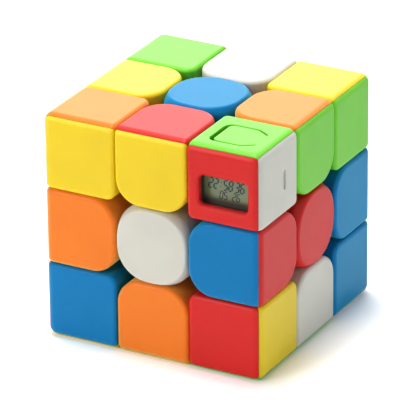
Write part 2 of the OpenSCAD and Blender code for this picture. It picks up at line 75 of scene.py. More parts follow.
# ---------------------------------------------------------------- sizes of the whole cube, in mm

@dataclass(frozen=True)
class CubeSizes:
    """Sizes that every twisting piece shares, in millimetres. The run is the free room beside the
    plane between two layers, the seam the one between two shells of a piece, the track the radius
    of the free space round the core, and the slack how exactly a point has to lie on a surface."""
    half: float = 28.0
    layer: float = 56.0 / 6
    run: float = 0.1
    seam: float = 0.03
    wall: float = 1.5
    track: float = 19.0
    seam_fillet: float = 1.0
    edge_fillet: float = 2.2
    edge_inner_round: float = 6.2
    corner_inner_round: float = 2.3
    timer_inner_round: float = 1.5
    centre_round: float = 6.5
    plug_depth: float = 5.0
    slack: float = 0.02

    @property
    def cell_lo(self) -> float:
        """Nearest side of a corner or edge piece's cell."""
        return self.layer + self.run

    @property
    def cell_in(self) -> float:
        """Half width of an edge or centre piece's cell."""
        return self.layer - self.run

    @property
    def plug(self) -> float:
        """Radius up to which the timer's frame fills its corner piece."""
        return self.half - self.plug_depth


CUBE = CubeSizes()


class Turn(Enum):
    """How often the axes are turned round, X to Y to Z, before a piece is mirrored into place."""
    NONE = 0
    ONCE = 1
    TWICE = 2


@dataclass(frozen=True)
class Seat:
    """Place of a piece in the cube: its turn, then the signs that mirror it into its octant. On an
    edge piece, Y and Z first change places for the shell that faces Y."""
    turn: Turn
    signs: Signs
    swapped: bool = False

    def place(self, x: float, y: float, z: float) -> Vector:
        """Moves a point of the +X +Y +Z octant to this seat.

        Args:
            x: The point's X in millimetres.
            y: Its Y.
            z: Its Z.

        Returns:
            The point in metres.
        """
        if self.swapped:
            y, z = z, y
        for _ in range(self.turn.value):
            x, y, z = z, x, y
        sx, sy, sz = self.signs
        return Vector((sx * x, sy * y, sz * z)) * MM


def face_point(seat: Seat, side: Turn, x: float, y: float, z: float) -> Vector:
    """Returns a point given with its face towards +Z, in the row frame, in metres."""
    return seat.place(*(Seat(side, (1, 1, 1)).place(x, y, z) / MM))


AXLES = {"front": (90, 0), "right": (0, 90), "back": (-90, 0),
         "left": (0, -90), "upper": (0, 0), "lower": (180, 0)}


def axle_turn(end: str) -> Matrix:
    """Returns the turn from +Z to the axle on one side of the cube."""
    x, y = (math.radians(angle) for angle in AXLES[end])
    return Matrix.Rotation(y, 4, "Y") @ Matrix.Rotation(x, 4, "X")


def circle(radius: float, count: int) -> list[Point2]:
    """Returns evenly spaced points of a circle."""
    turns = (2 * math.pi * k / count for k in range(count))
    return [(radius * math.cos(turn), radius * math.sin(turn)) for turn in turns]


# ---------------------------------------------------------------- finishes

class Effect(Enum):
    """Shader node groups that several finishes share."""
    GRAIN = "moulded_grain"
    MOTTLE = "colour_mottle"
    BRUSH = "turned_metal"


def add_node(tree: bpy.types.NodeTree, kind: str, values: dict[str, object],
             sources: dict[str, bpy.types.NodeSocket]) -> bpy.types.Node:
    """Adds a shader node, sets its plain sockets and links the others.

    Args:
        tree: The node tree.
        kind: Node type name.
        values: Socket or property name to value.
        sources: Input name to the output socket that feeds it.

    Returns:
        The new node.
    """
    node = tree.nodes.new(kind)
    for key, value in values.items():
        if key in node.inputs:
            node.inputs[key].default_value = value
        else:
            setattr(node, key, value)
    for key, source in sources.items():
        tree.links.new(source, node.inputs[key])
    return node


def add_math(tree: bpy.types.NodeTree, operation: str,
             *terms: bpy.types.NodeSocket | float) -> bpy.types.NodeSocket:
    """Adds a math node.

    Args:
        tree: The node tree.
        operation: What it works out.
        terms: Its terms in order, each a number or the output socket that feeds it.

    Returns:
        The result's output socket.
    """
    node = tree.nodes.new("ShaderNodeMath")
    node.operation = operation
    for socket, term in zip(node.inputs, terms):
        if isinstance(term, float):
            socket.default_value = term
        else:
            tree.links.new(term, socket)
    return node.outputs[0]


@dataclass
class EffectShelf:
    """Builds each shared effect once and hands out its node group."""
    made: dict[Effect, bpy.types.NodeTree] = field(default_factory=dict)

    def get(self, effect: Effect) -> bpy.types.NodeTree:
        """Finds an effect's node group, and builds it on first use.

        Args:
            effect: Which effect.

        Returns:
            The node group.
        """
        builders = {Effect.GRAIN: self.grain, Effect.MOTTLE: self.mottle, Effect.BRUSH: self.brush}
        if effect not in self.made:
            self.made[effect] = builders[effect]()
        return self.made[effect]

    @staticmethod
    def start(effect: Effect, inputs: dict[str, tuple[str, object]], outputs: dict[str, str],
              ) -> tuple[bpy.types.NodeTree, bpy.types.NodeOutputs, bpy.types.NodeInputs]:
        """Makes an empty group with named sockets.

        Args:
            effect: The group's name.
            inputs: Socket name to its type and default.
            outputs: Socket name to its type.

        Returns:
            The tree, the sockets that bring its inputs and the sockets that take its outputs.
        """
        tree = bpy.data.node_groups.new(effect.value, "ShaderNodeTree")
        for name, (kind, default) in inputs.items():
            socket = tree.interface.new_socket(name, in_out="INPUT", socket_type=kind)
            socket.default_value = default
        for name, kind in outputs.items():
            tree.interface.new_socket(name, in_out="OUTPUT", socket_type=kind)
        given, result = tree.nodes.new("NodeGroupInput"), tree.nodes.new("NodeGroupOutput")
        return tree, given.outputs, result.inputs

    def grain(self) -> bpy.types.NodeTree:
        """Fine spark-eroded grain of a mould: a normal and a roughness that vary with it.

        Returns:
            The node group.
        """
        tree, given, result = self.start(
            Effect.GRAIN,
            {"Scale": ("NodeSocketFloat", 5200.0), "Depth": ("NodeSocketFloat", 0.02),
             "Roughness": ("NodeSocketFloat", 0.4), "Spread": ("NodeSocketFloat", 0.06)},
            {"Normal": "NodeSocketVector", "Roughness": "NodeSocketFloat"})
        where = tree.nodes.new("ShaderNodeTexCoord").outputs["Object"]
        fine = add_node(tree, "ShaderNodeTexNoise", {"Detail": 3.0},
                        {"Vector": where, "Scale": given["Scale"]})
        broad = add_node(tree, "ShaderNodeTexNoise", {"Scale": 140.0, "Detail": 2.0},
                         {"Vector": where})
        bump = add_node(tree, "ShaderNodeBump", {"Distance": 0.00004},
                        {"Height": fine.outputs["Fac"], "Strength": given["Depth"]})
        centred = add_math(tree, "SUBTRACT", broad.outputs["Fac"], 0.5)
        scaled = add_math(tree, "MULTIPLY", centred, given["Spread"])
        rough = add_math(tree, "ADD", given["Roughness"], scaled)
        tree.links.new(bump.outputs["Normal"], result["Normal"])
        tree.links.new(rough, result["Roughness"])
        return tree

    def mottle(self) -> bpy.types.NodeTree:
        """Slow, faint drift of a moulded colour between two shades.

        Returns:
            The node group.
        """
        tree, given, result = self.start(
            Effect.MOTTLE,
            {"Colour": ("NodeSocketColor", (0.5, 0.5, 0.5, 1.0)),
             "Drift": ("NodeSocketColor", (0.4, 0.4, 0.4, 1.0)),
             "Scale": ("NodeSocketFloat", 90.0)},
            {"Colour": "NodeSocketColor", "Mask": "NodeSocketFloat"})
        where = tree.nodes.new("ShaderNodeTexCoord").outputs["Object"]
        slow = add_node(tree, "ShaderNodeTexNoise", {"Detail": 2.0, "Roughness": 0.45},
                        {"Vector": where, "Scale": given["Scale"]})
        share = add_node(tree, "ShaderNodeMapRange", {"From Min": 0.35, "From Max": 0.75},
                         {"Value": slow.outputs["Fac"]}).outputs["Result"]
        mix = add_node(tree, "ShaderNodeMix", {"data_type": "RGBA"}, {})
        for source, name in ((share, "Factor"), (given["Colour"], "A"), (given["Drift"], "B")):
            tree.links.new(source, mix.inputs[name])
        tree.links.new(mix.outputs["Result"], result["Colour"])
        tree.links.new(share, result["Mask"])
        return tree

    def brush(self) -> bpy.types.NodeTree:
        """Fine turning marks of machined or drawn metal, as a normal and a roughness.

        Returns:
            The node group.
        """
        tree, given, result = self.start(
            Effect.BRUSH,
            {"Depth": ("NodeSocketFloat", 0.1), "Roughness": ("NodeSocketFloat", 0.3)},
            {"Normal": "NodeSocketVector", "Roughness": "NodeSocketFloat"})
        where = tree.nodes.new("ShaderNodeTexCoord").outputs["Object"]
        long_way = add_node(tree, "ShaderNodeMapping", {"Scale": (900.0, 5000.0, 900.0)},
                            {"Vector": where})
        marks = add_node(tree, "ShaderNodeTexNoise", {"Scale": 1.0, "Detail": 4.0},
                         {"Vector": long_way.outputs["Vector"]}).outputs["Fac"]
        bump = add_node(tree, "ShaderNodeBump", {"Distance": 0.00003},
                        {"Height": marks, "Strength": given["Depth"]})
        rough = add_math(tree, "MULTIPLY_ADD", marks, 0.14, given["Roughness"])
        tree.links.new(bump.outputs["Normal"], result["Normal"])
        tree.links.new(rough, result["Roughness"])
        return tree


EFFECTS = EffectShelf()


@dataclass
class Coat:
    """A new material on its way: its node tree and its Principled shader."""
    name: str
    material: bpy.types.Material = field(init=False)
    tree: bpy.types.NodeTree = field(init=False)
    shader: bpy.types.Node = field(init=False)

    def __post_init__(self) -> None:
        """Makes the empty node material."""
        self.material = bpy.data.materials.new(self.name)
        self.material.use_nodes = True
        self.tree = self.material.node_tree
        self.shader = self.tree.nodes["Principled BSDF"]

    def add_effect(self, effect: Effect, values: dict[str, object]) -> bpy.types.NodeOutputs:
        """Places a shared effect in the material.

        Args:
            effect: Which effect.
            values: The group's input values.

        Returns:
            The effect's output sockets.
        """
        node = self.tree.nodes.new("ShaderNodeGroup")
        node.node_tree = EFFECTS.get(effect)
        for key, value in values.items():
            node.inputs[key].default_value = value
        return node.outputs

    def mottled(self, colour: Colour, drift: float, scale: float = 90.0) -> bpy.types.NodeSocket:
        """Places a colour's slow drift to its other shade, and returns the socket of the mix."""
        shades = {"Colour": shade_of(colour, 1.0), "Drift": shade_of(colour, drift)}
        return self.add_effect(Effect.MOTTLE, {**shades, "Scale": scale})["Colour"]

    def finish(self, colour: bpy.types.NodeSocket, surface: bpy.types.NodeOutputs,
               **values: object) -> bpy.types.Material:
        """Feeds the shader.

        Args:
            colour: Socket that gives the colour.
            surface: Sockets that give the roughness and the normal.
            values: The shader's plain values, with an underscore for each space of a name.

        Returns:
            The finished material.
        """
        feeds = {"Base Color": colour, "Roughness": surface["Roughness"],
                 "Normal": surface["Normal"]}
        for name, source in feeds.items():
            self.tree.links.new(source, self.shader.inputs[name])
        for name, value in values.items():
            self.shader.inputs[name.replace("_", " ")].default_value = value
        return self.material


def shade_of(colour: Colour, factor: float) -> tuple[float, float, float, float]:
    """Returns a colour made lighter or darker by a factor, with its alpha."""
    return (*(min(part * factor, 1.0) for part in colour), 1.0)


@dataclass(frozen=True)
class MouldedPlastic:
    """Through-coloured plastic with a moulded grain. Depth is how much light it lets in, which
    wanders for the scatter's length in metres, and the haze is a frosted bloom at flat angles."""
    name: str
    colour: Colour
    roughness: float = 0.36
    grain_scale: float = 5200.0
    grain_depth: float = 0.05
    drift: float = 0.93
    gloss: float = 0.25
    depth: float = 0.0
    scatter: float = 0.0012
    haze: float = 0.0
    haze_roughness: float = 0.45
    haze_tint: Colour = (1.0, 1.0, 1.0)

    def build(self) -> bpy.types.Material:
        """Makes the material.

        Returns:
            The plastic's material.
        """
        coat = Coat(self.name)
        grain = coat.add_effect(Effect.GRAIN, {"Scale": self.grain_scale,
                                               "Depth": self.grain_depth,
                                               "Roughness": self.roughness})
        return coat.finish(
            coat.mottled(self.colour, self.drift), grain, Specular_IOR_Level=self.gloss,
            Subsurface_Weight=self.depth, Subsurface_Radius=(1.0, 1.0, 1.0),
            Subsurface_Scale=self.scatter, Sheen_Weight=self.haze,
            Sheen_Roughness=self.haze_roughness, Sheen_Tint=(*self.haze_tint, 1.0))


@dataclass(frozen=True)
class ShellPlastic(MouldedPlastic):
    """Frosted, slightly translucent plastic of the coloured shells and caps."""
    depth: float = 0.85


@dataclass(frozen=True)
class WorkedMetal:
    """Plated or bare metal with fine working marks."""
    name: str
    colour: Colour
    roughness: float = 0.28
    marks: float = 0.25

    def build(self) -> bpy.types.Material:
        """Makes the material.

        Returns:
            The metal's material.
        """
        coat = Coat(self.name)
        marks = coat.add_effect(Effect.BRUSH, {"Depth": self.marks, "Roughness": self.roughness})
        return coat.finish(coat.mottled(self.colour, 0.86, 700.0), marks, Metallic=1.0)


@dataclass(frozen=True)
class DisplayGlass:
    """Grey-green liquid crystal under polished glass, with painted shade from the window's recess
    towards its left and lower borders. Each fade runs between two distances from the panel's side,
    in metres."""
    name: str
    left_x: float
    lower_z: float
    lit: Colour = (0.185, 0.235, 0.122)
    # Colour of the painted shade that the window's recess casts on the panel's left and lower
    # borders.
    border: Colour = (0.095, 0.080, 0.064)
    left_fade: Point2 = (0.0003, 0.0010)
    lower_fade: Point2 = (0.0010, 0.0030)

    def build(self) -> bpy.types.Material:
        """Makes the material.

        Returns:
            The display's material.
        """
        coat = Coat(self.name)
        tree = coat.tree
        where = tree.nodes.new("ShaderNodeTexCoord").outputs["Object"]
        axes = add_node(tree, "ShaderNodeSeparateXYZ", {}, {"Vector": where}).outputs
        near, far = (self.left_x + step for step in self.left_fade)
        left = add_node(tree, "ShaderNodeMapRange", {"From Min": near, "From Max": far},
                        {"Value": axes["X"]})
        near, far = (self.lower_z + step for step in self.lower_fade)
        lower = add_node(tree, "ShaderNodeMapRange",
                         {"interpolation_type": "SMOOTHSTEP", "From Min": near, "From Max": far},
                         {"Value": axes["Z"]})
        both = add_math(tree, "MULTIPLY", left.outputs["Result"], lower.outputs["Result"])
        # Painted shade: the panel's own colour fades into the recess shade towards its left and
        # lower borders.
        mix = add_node(tree, "ShaderNodeMix", {"data_type": "RGBA"}, {})
        mix.inputs["A"].default_value = (*self.border, 1.0)
        tree.links.new(both, mix.inputs["Factor"])
        tree.links.new(coat.mottled(self.lit, 0.88, 260.0), mix.inputs["B"])
        grain = coat.add_effect(Effect.GRAIN, {"Scale": 900.0, "Depth": 0.01, "Roughness": 0.12,
                                               "Spread": 0.05})
        return coat.finish(mix.outputs["Result"], grain)


@dataclass(frozen=True)
class BoardLaminate:
    """Green solder mask with faint copper tracks under it."""
    name: str
    mask: Colour = (0.02, 0.17, 0.07)
    track: Colour = (0.05, 0.30, 0.12)

    def build(self) -> bpy.types.Material:
        """Makes the material.

        Returns:
            The board's material.
        """
        coat = Coat(self.name)
        where = coat.tree.nodes.new("ShaderNodeTexCoord").outputs["Object"]
        tracks = add_node(coat.tree, "ShaderNodeTexBrick",
                          {"Scale": 420.0, "Mortar Size": 0.05, "Color1": (*self.mask, 1.0),
                           "Color2": shade_of(self.mask, 1.25), "Mortar": (*self.track, 1.0)},
                          {"Vector": where})
        grain = coat.add_effect(Effect.GRAIN, {"Scale": 2600.0, "Depth": 0.05, "Roughness": 0.3})
        return coat.finish(tracks.outputs["Color"], grain)


class Finishes:
    """Every finish of the object by the record's slot name."""

    def __init__(self) -> None:
        """Builds all the materials once."""
        panel_lo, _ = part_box("display_panel")
        recipes = {
            "yellow_plastic": ShellPlastic("frosted_yellow", (0.89, 0.66, 0.014)),
            "orange_plastic": ShellPlastic("frosted_orange", (0.93, 0.212, 0.004),
                                           haze=1.0, haze_tint=(1.0, 1.0, 0.32)),
            "blue_plastic": ShellPlastic("frosted_blue", (0.003, 0.21, 0.51), gloss=0.12,
                                         haze=0.5, haze_tint=(0.05, 0.9, 0.7)),
            "red_plastic": ShellPlastic("frosted_red", (0.70, 0.012, 0.010)),
            "white_plastic": ShellPlastic("frosted_white", (0.69, 0.675, 0.60)),
            "green_plastic": ShellPlastic("frosted_green", (0.19, 0.66, 0.035)),
            "core_plastic": MouldedPlastic("core_nylon", (0.035, 0.036, 0.040), roughness=0.30),
            "screw_steel": WorkedMetal("zinc_screws", (0.56, 0.57, 0.58), roughness=0.30),
            "spring_steel": WorkedMetal("spring_wire", (0.66, 0.67, 0.68), roughness=0.20),
            "washer_steel": WorkedMetal("satin_washers", (0.50, 0.51, 0.53), roughness=0.34),
            "frame_plastic": MouldedPlastic("timer_frame_black", (0.018, 0.018, 0.020),
                                            roughness=0.45, grain_scale=3000.0, grain_depth=0.12),
            "gasket_rubber": MouldedPlastic("gasket_foam", (0.055, 0.042, 0.036),
                                            roughness=0.85, grain_scale=2200.0, grain_depth=0.5),
            "display_glass": DisplayGlass("liquid_crystal", panel_lo.x, panel_lo.z),
            "strip_rubber": MouldedPlastic("contact_rubber", (0.10, 0.06, 0.07),
                                           roughness=0.7, grain_scale=1800.0, grain_depth=0.3),
            "board_laminate": BoardLaminate("solder_mask"),
            "switch_plastic": MouldedPlastic("switch_case", (0.03, 0.03, 0.033), roughness=0.4),
            "plunger_plastic": MouldedPlastic("switch_plunger_ivory", (0.55, 0.50, 0.38),
                                              roughness=0.35),
            "cell_steel": WorkedMetal("cell_case", (0.66, 0.67, 0.68), roughness=0.24),
            "contact_brass": WorkedMetal("contact_leaf", (0.72, 0.50, 0.19), roughness=0.22)}
        self.by_slot = {slot: recipe.build() for slot, recipe in recipes.items()}
        self.digits = MouldedPlastic("liquid_crystal_digits", (0.022, 0.036, 0.042),
                                     roughness=0.25).build()

    def __getitem__(self, slot: str) -> bpy.types.Material:
        """Returns the finish of a slot."""
        return self.by_slot[slot]


# ---------------------------------------------------------------- pieces and their places

class Register:
    """Knows each CAD node's body and slot, and adds new pieces to the object."""

    def __init__(self, finishes: Finishes) -> None:
        """Reads the nodes' bodies and slots from the frame's record.

        Args:
            finishes: The materials by slot.
        """
        record = frame["record"]
        self.finishes = finishes
        self.slot_of = {part["node"]: part["material_slot"] for part in record["subparts"]}
        self.body_of = {node: body for body, nodes in record["behaviour"]["bodies"].items()
                        for node in nodes}
        self.replaced: set[str] = set()

    def add(self, name: str, mesh: bpy.types.Mesh, node: str, replace: bool = True,
            material: bpy.types.Material | None = None) -> bpy.types.Object:
        """Adds a piece that rides with a CAD node and takes its finish.

        Args:
            name: The piece's name.
            mesh: Its mesh, in metres, in the row frame.
            node: The CAD node whose body and slot it shares.
            replace: Whether it stands for that node.
            material: Another finish than the slot's.

        Returns:
            The new object.
        """
        piece = bpy.data.objects.new(name, mesh)
        bpy.context.scene.collection.objects.link(piece)
        mesh.materials.clear()
        mesh.materials.append(material or self.finishes[self.slot_of[node]])
        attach(piece, self.body_of[node])
        if replace:
            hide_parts(node)
            self.replaced.add(node)
        LOG.info("%s: %d faces, rides on %s", name, len(mesh.polygons), self.body_of[node])
        return piece

    def dress(self, node: str) -> None:
        """Gives a CAD node that stays its finish.

        Args:
            node: The CAD node.
        """
        mesh = frame["nodes"][node].data
        finish = self.finishes[self.slot_of[node]]
        if not mesh.materials:
            mesh.materials.append(finish)
        for index in range(len(mesh.materials)):
            mesh.materials[index] = finish
        LOG.info("%s: the solid itself, dressed as %s", node, finish.name)


def shade_smooth(mesh: bpy.types.Mesh, sharp: float = 32.0) -> bpy.types.Mesh:
    """Shades a mesh smoothly between its creases.

    Args:
        mesh: The mesh.
        sharp: Angle in degrees from which an edge is a crease.

    Returns:
        The same mesh.
    """
    mesh.polygons.foreach_set("use_smooth", [True] * len(mesh.polygons))
    mesh.set_sharp_from_angle(angle=math.radians(sharp))
    return mesh


def finish_mesh(name: str, form: bmesh.types.BMesh, sharp: float = 32.0,
                normals: bool = True) -> bpy.types.Mesh:
    """Turns an edited mesh into a smooth-shaded one with sharp creases.

    Args:
        name: The mesh's name.
        form: The edited mesh, freed here.
        sharp: Angle in degrees from which an edge is a crease.
        normals: Whether the faces are first turned outward.

    Returns:
        The mesh.
    """
    if normals:
        bmesh.ops.recalc_face_normals(form, faces=form.faces)
    mesh = bpy.data.meshes.new(name)
    form.to_mesh(mesh)
    form.free()
    return shade_smooth(mesh, sharp)


def even_shading(piece: bpy.types.Object) -> None:
    """Weights the normals by face area, so that flats stay flat beside their fillets.

    Args:
        piece: The piece to shade.
    """
    modifier = piece.modifiers.new("even_shading", "WEIGHTED_NORMAL")
    modifier.keep_sharp = True
    modifier.weight = 90


def strips(form: bmesh.types.BMesh, rings: Sequence[Sequence[Vector]], cap_first: bool = True,
           cap_last: bool = True) -> None:
    """Joins closed rings of equal length with faces, and closes the ends.

    Args:
        form: Mesh that takes the faces.
        rings: The rings, each a closed loop of points.
        cap_first: Whether the first ring gets a face over it.
        cap_last: Whether the last ring gets one.
    """
    loops = [[form.verts.new(point) for point in ring] for ring in rings]
    count = len(loops[0])
    for upper, lower in zip(loops, loops[1:]):
        for i in range(count):
            j = (i + 1) % count
            form.faces.new((upper[i], upper[j], lower[j], lower[i]))
    if cap_first:
        form.faces.new(loops[0])
    if cap_last:
        form.faces.new(reversed(loops[-1]))


def apply_cut(mesh: bpy.types.Mesh, cutters: Iterable[bpy.types.Mesh]) -> bpy.types.Mesh:
    """Cuts solids out of a mesh.

    Args:
        mesh: The closed mesh to cut.
        cutters: Closed meshes to take away.

    Returns:
        The cut mesh.
    """
    scene = bpy.context.scene.collection.objects
    target = bpy.data.objects.new("cut_target", mesh)
    scene.link(target)
    tools = []
    for cutter in cutters:
        tool = bpy.data.objects.new("cut_tool", cutter)
        scene.link(tool)
        tools.append(tool)
        modifier = target.modifiers.new("cut", "BOOLEAN")
        modifier.operation = "DIFFERENCE"
        modifier.solver = "EXACT"
        modifier.object = tool
    bpy.context.view_layer.update()
    depsgraph = bpy.context.evaluated_depsgraph_get()
    result = bpy.data.meshes.new_from_object(target.evaluated_get(depsgraph))
    for thing in (target, *tools):
        bpy.data.objects.remove(thing)
    return shade_smooth(result)


def copy_near(node: str, form: bmesh.types.BMesh, keep: Callable[[Vector], bool]) -> None:
    """Copies the faces of a CAD node whose corners all pass a test.

    Args:
        node: The CAD node.
        form: Mesh that takes the copies.
        keep: Test of one corner, given in millimetres.
    """
    source = frame["nodes"][node].data
    inside = [keep(vertex.co / MM) for vertex in source.vertices]
    made: dict[int, bmesh.types.BMVert] = {}
    for polygon in source.polygons:
        if all(inside[index] for index in polygon.vertices):
            corners = []
            for index in polygon.vertices:
                if index not in made:
                    made[index] = form.verts.new(source.vertices[index].co)
                corners.append(made[index])
            if len(set(corners)) == len(corners) and not form.faces.get(corners):
                form.faces.new(corners)


# ---------------------------------------------------------------- coloured shells

@dataclass(frozen=True)
class Column:
    """One way down a shell's skin: over the fillet, and the point of the inside wall beside it."""
    path: Callable[[float], Point3]
    within: Point2
    fillet: float


def arc_path(foot: Point2, way: Point2, fillet: float) -> Callable[[float], Point3]:
    """Way over a plain fillet.

    Args:
        foot: Point of the contour that it comes down at.
        way: Outward direction there.
        fillet: The fillet's radius.

    Returns:
        Place in the face's plane and depth under the face, by the share of the way.
    """
    def path(share: float) -> Point3:
        """Walks down the way.

        Args:
            share: The share of the way.

        Returns:
            The point there.
        """
        angle = share * math.pi / 2
        inset = fillet * (1 - math.sin(angle))
        return (foot[0] - way[0] * inset, foot[1] - way[1] * inset, fillet * (1 - math.cos(angle)))

    return path


def ring_path(corner: Point2, narrow_way: Point2, wide_way: Point2, narrow: float, wide: float,
              turn: float) -> Callable[[float], Point3]:
    """Way over the ring-shaped surface where a narrow fillet runs round a wide one.

    Args:
        corner: Where the two sides would meet.
        narrow_way: Outward direction of the side with the narrow fillet.
        wide_way: That of the side with the wide one.
        narrow: The narrow fillet.
        wide: The wide fillet.
        turn: Share of the corner, from the narrow side on.

    Returns:
        Place in the face's plane and depth under the face, by the share of the way.
    """
    def path(share: float) -> Point3:
        """Walks down the way.

        Args:
            share: The share of the way.

        Returns:
            The point there.
        """
        along = share * min(1.0, 2 * turn) * math.pi / 2
        across = (1 - share * (1 - max(0.0, 2 * turn - 1))) * math.pi / 2
        reach = wide - narrow + narrow * math.sin(across)
        into, back = narrow * (1 - math.cos(across)), wide - reach * math.sin(along)
        return (corner[0] - narrow_way[0] * into - wide_way[0] * back,
                corner[1] - narrow_way[1] * into - wide_way[1] * back,
                wide - reach * math.cos(along))

    return path


@dataclass(frozen=True)
class Contour:
    """Rounded rectangle in a face's plane: lower and upper corner, four corner radii and the
    fillets along its four sides, each from the lower left corner round."""
    lo: Point2
    hi: Point2
    radii: tuple[float, float, float, float]
    fillets: tuple[float, float, float, float]
    arc_steps: tuple[int, int, int, int]
    side_step: float = 1.2
    ways: tuple[Point2, ...] = ((0.0, -1.0), (1.0, 0.0), (0.0, 1.0), (-1.0, 0.0))

    def corner(self, i: int, share: float, back: float, radius: float) -> Point2:
        """Walks round a rounded corner.

        Args:
            i: Which corner.
            share: How far round it, from the side before it.
            back: How far both sides are moved in.
            radius: The corner's radius.

        Returns:
            The point there.
        """
        spot = ((self.lo[0], self.hi[0])[i in (1, 2)], (self.lo[1], self.hi[1])[i > 1])
        before, after = self.ways[i - 1], self.ways[i]
        c, n = math.cos(share * math.pi / 2), math.sin(share * math.pi / 2)
        return tuple(spot[k] - (before[k] + after[k]) * (back + radius)
                     + (before[k] * c + after[k] * n) * radius for k in (0, 1))

    def corner_columns(self, i: int, inset: float, least: float) -> list[Column]:
        """Walks round one corner.

        Args:
            i: Which corner.
            inset: How far the inside wall stays inside the contour.
            least: Smallest corner radius of that wall.

        Returns:
            The corner's columns.
        """
        before, after = self.fillets[i - 1], self.fillets[i]
        way_in, way_out = self.ways[i - 1], self.ways[i]
        sharp = self.corner(i, 0.0, 0.0, 0.0)
        columns = []
        for k in range(self.arc_steps[i] + 1):
            share = k / self.arc_steps[i]
            c, n = math.cos(share * math.pi / 2), math.sin(share * math.pi / 2)
            if before == after:
                path = arc_path(self.corner(i, share, 0.0, self.radii[i]),
                                (way_in[0] * c + way_out[0] * n, way_in[1] * c + way_out[1] * n),
                                before)
            elif before < after:
                path = ring_path(sharp, way_in, way_out, before, after, share)
            else:
                path = ring_path(sharp, way_out, way_in, after, before, 1 - share)
            within = self.corner(i, share, inset, max(self.radii[i] - inset, least))
            columns.append(Column(path, within, max(before, after)))
        return columns

    def columns(self, inset: float, least: float = 0.3) -> list[Column]:
        """Walks round the contour.

        Args:
            inset: How far the inside wall stays inside the contour.
            least: Smallest corner radius of that wall.

        Returns:
            The columns, each corner's followed by those of the side after it.
        """
        corners = [self.corner_columns(i, inset, least) for i in range(4)]
        found: list[Column] = []
        for i in range(4):
            found += corners[i]
            begin, end = corners[i][-1], corners[(i + 1) % 4][0]
            (ax, ay, _), (bx, by, _) = begin.path(1.0), end.path(1.0)
            (cx, cy), (dx, dy) = begin.within, end.within
            pieces = max(2, math.ceil(math.dist((ax, ay), (bx, by)) / self.side_step))
            for k in range(1, pieces):
                t = k / pieces
                path = arc_path((ax + (bx - ax) * t, ay + (by - ay) * t), self.ways[i],
                                self.fillets[i])
                found.append(Column(path, (cx + (dx - cx) * t, cy + (dy - cy) * t),
                                    self.fillets[i]))
        return found


@dataclass(frozen=True)
class Cup:
    """Hollow moulded shell: a face, a fillet all round it, walls that end where the shell meets
    the next one or the free space round the core, and the inside. The lip is how far the walls'
    ends are eased, the clearance how much thicker they are than the solid's, and points closer
    than the weld become one."""
    contour: Contour
    floor: Floor
    top: float = CUBE.half
    wall: float = CUBE.wall
    clearance: float = 0.05
    arc_rings: int = 8
    lip: float = 0.07
    weld: float = 0.004
    halvings: int = 30

    def skin(self, column: Column, share: float) -> Point3:
        """Returns a point of a column, in face coordinates."""
        u, v, drop = column.path(share)
        return u, v, self.top - drop

    def last_share(self, column: Column) -> float:
        """Finds where a column ends.

        Args:
            column: The column.

        Returns:
            1, or the share of the way at which the fillet meets the shell's end.
        """
        lo, hi = 0.0, 1.0
        u, v, w = self.skin(column, hi)
        if w >= self.floor(u, v):
            return hi
        for _ in range(self.halvings):
            mid = (lo + hi) / 2
            u, v, w = self.skin(column, mid)
            lo, hi = (mid, hi) if w >= self.floor(u, v) else (lo, mid)
        return lo

    def rings(self) -> list[list[Point3]]:
        """Walks over the shell from the middle of its face to the middle of its inside.

        Returns:
            The closed rings, in face coordinates.
        """
        columns = self.contour.columns(self.wall + self.clearance)
        ends = [self.last_share(column) for column in columns]
        eased = [end if end == 1.0 else max(end - self.lip / (column.fillet * math.pi / 2), 0.0)
                 for column, end in zip(columns, ends)]
        rings = [[self.skin(column, end * k / self.arc_rings)
                  for column, end in zip(columns, eased)] for k in range(self.arc_rings + 1)]
        above, near, inner = [], [], []
        for column, end, last in zip(columns, ends, rings[-1]):
            low = self.skin(column, end)
            if end == 1.0:
                low = (low[0], low[1], self.floor(low[0], low[1]))
            beyond = (*column.within, min(self.floor(*column.within), self.top - self.wall))
            step = self.lip / max(math.dist(low, beyond), self.lip * 2)
            lift = min(self.lip, (last[2] - low[2]) / 2)
            above.append((low[0], low[1], low[2] + lift) if end == 1.0 else last)
            near.append(tuple(a + (b - a) * step for a, b in zip(low, beyond)))
            inner.append(beyond)
        ceiling = [(*column.within, self.top - self.wall) for column in columns]
        return [*rings, above, near, inner, ceiling]

    def build(self, form: bmesh.types.BMesh, seat: Seat, side: Turn) -> None:
        """Adds the shell to a mesh.

        Args:
            form: Mesh that takes the shell.
            seat: The piece's seat.
            side: Turn from the face's own axes, with the face towards +Z, to the piece's.
        """
        own = bmesh.new()
        strips(own, [[face_point(seat, side, *point) for point in ring] for ring in self.rings()])
        bmesh.ops.remove_doubles(own, verts=own.verts, dist=self.weld * MM)
        bmesh.ops.dissolve_degenerate(own, edges=own.edges, dist=self.weld / 2 * MM)
        bmesh.ops.recalc_face_normals(own, faces=own.faces)
        carry = bpy.data.meshes.new("carry")
        own.to_mesh(carry)
        own.free()
        form.from_mesh(carry)
        bpy.data.meshes.remove(carry)


def sphere_floor(u: float, v: float, radius: float) -> float:
    """Returns the height of a ball round the core over a point of a face's plane."""
    return math.sqrt(max(radius * radius - u * u - v * v, 0.0))


def corner_cup(inner_round: float, free: float) -> Cup:
    """Shell of a corner piece, as seen with its face towards +Z.

    Args:
        inner_round: Radius of the corner next to the centre piece.
        free: Radius of the free space that the shell ends at.

    Returns:
        The shell.
    """
    gap = CUBE.seam * math.sqrt(2)

    def floor(u: float, v: float) -> float:
        """Returns where the shell ends, at the other two shells or at the free space."""
        return max(u + gap, v + gap, sphere_floor(u, v, free))

    lo = CUBE.cell_lo
    narrow, wide = CUBE.seam_fillet, CUBE.edge_fillet
    contour = Contour((lo, lo), (CUBE.half, CUBE.half), radii=(inner_round, wide, wide, wide),
                      fillets=(narrow, wide, wide, narrow), arc_steps=(12, 12, 10, 12))
    return Cup(contour, floor)


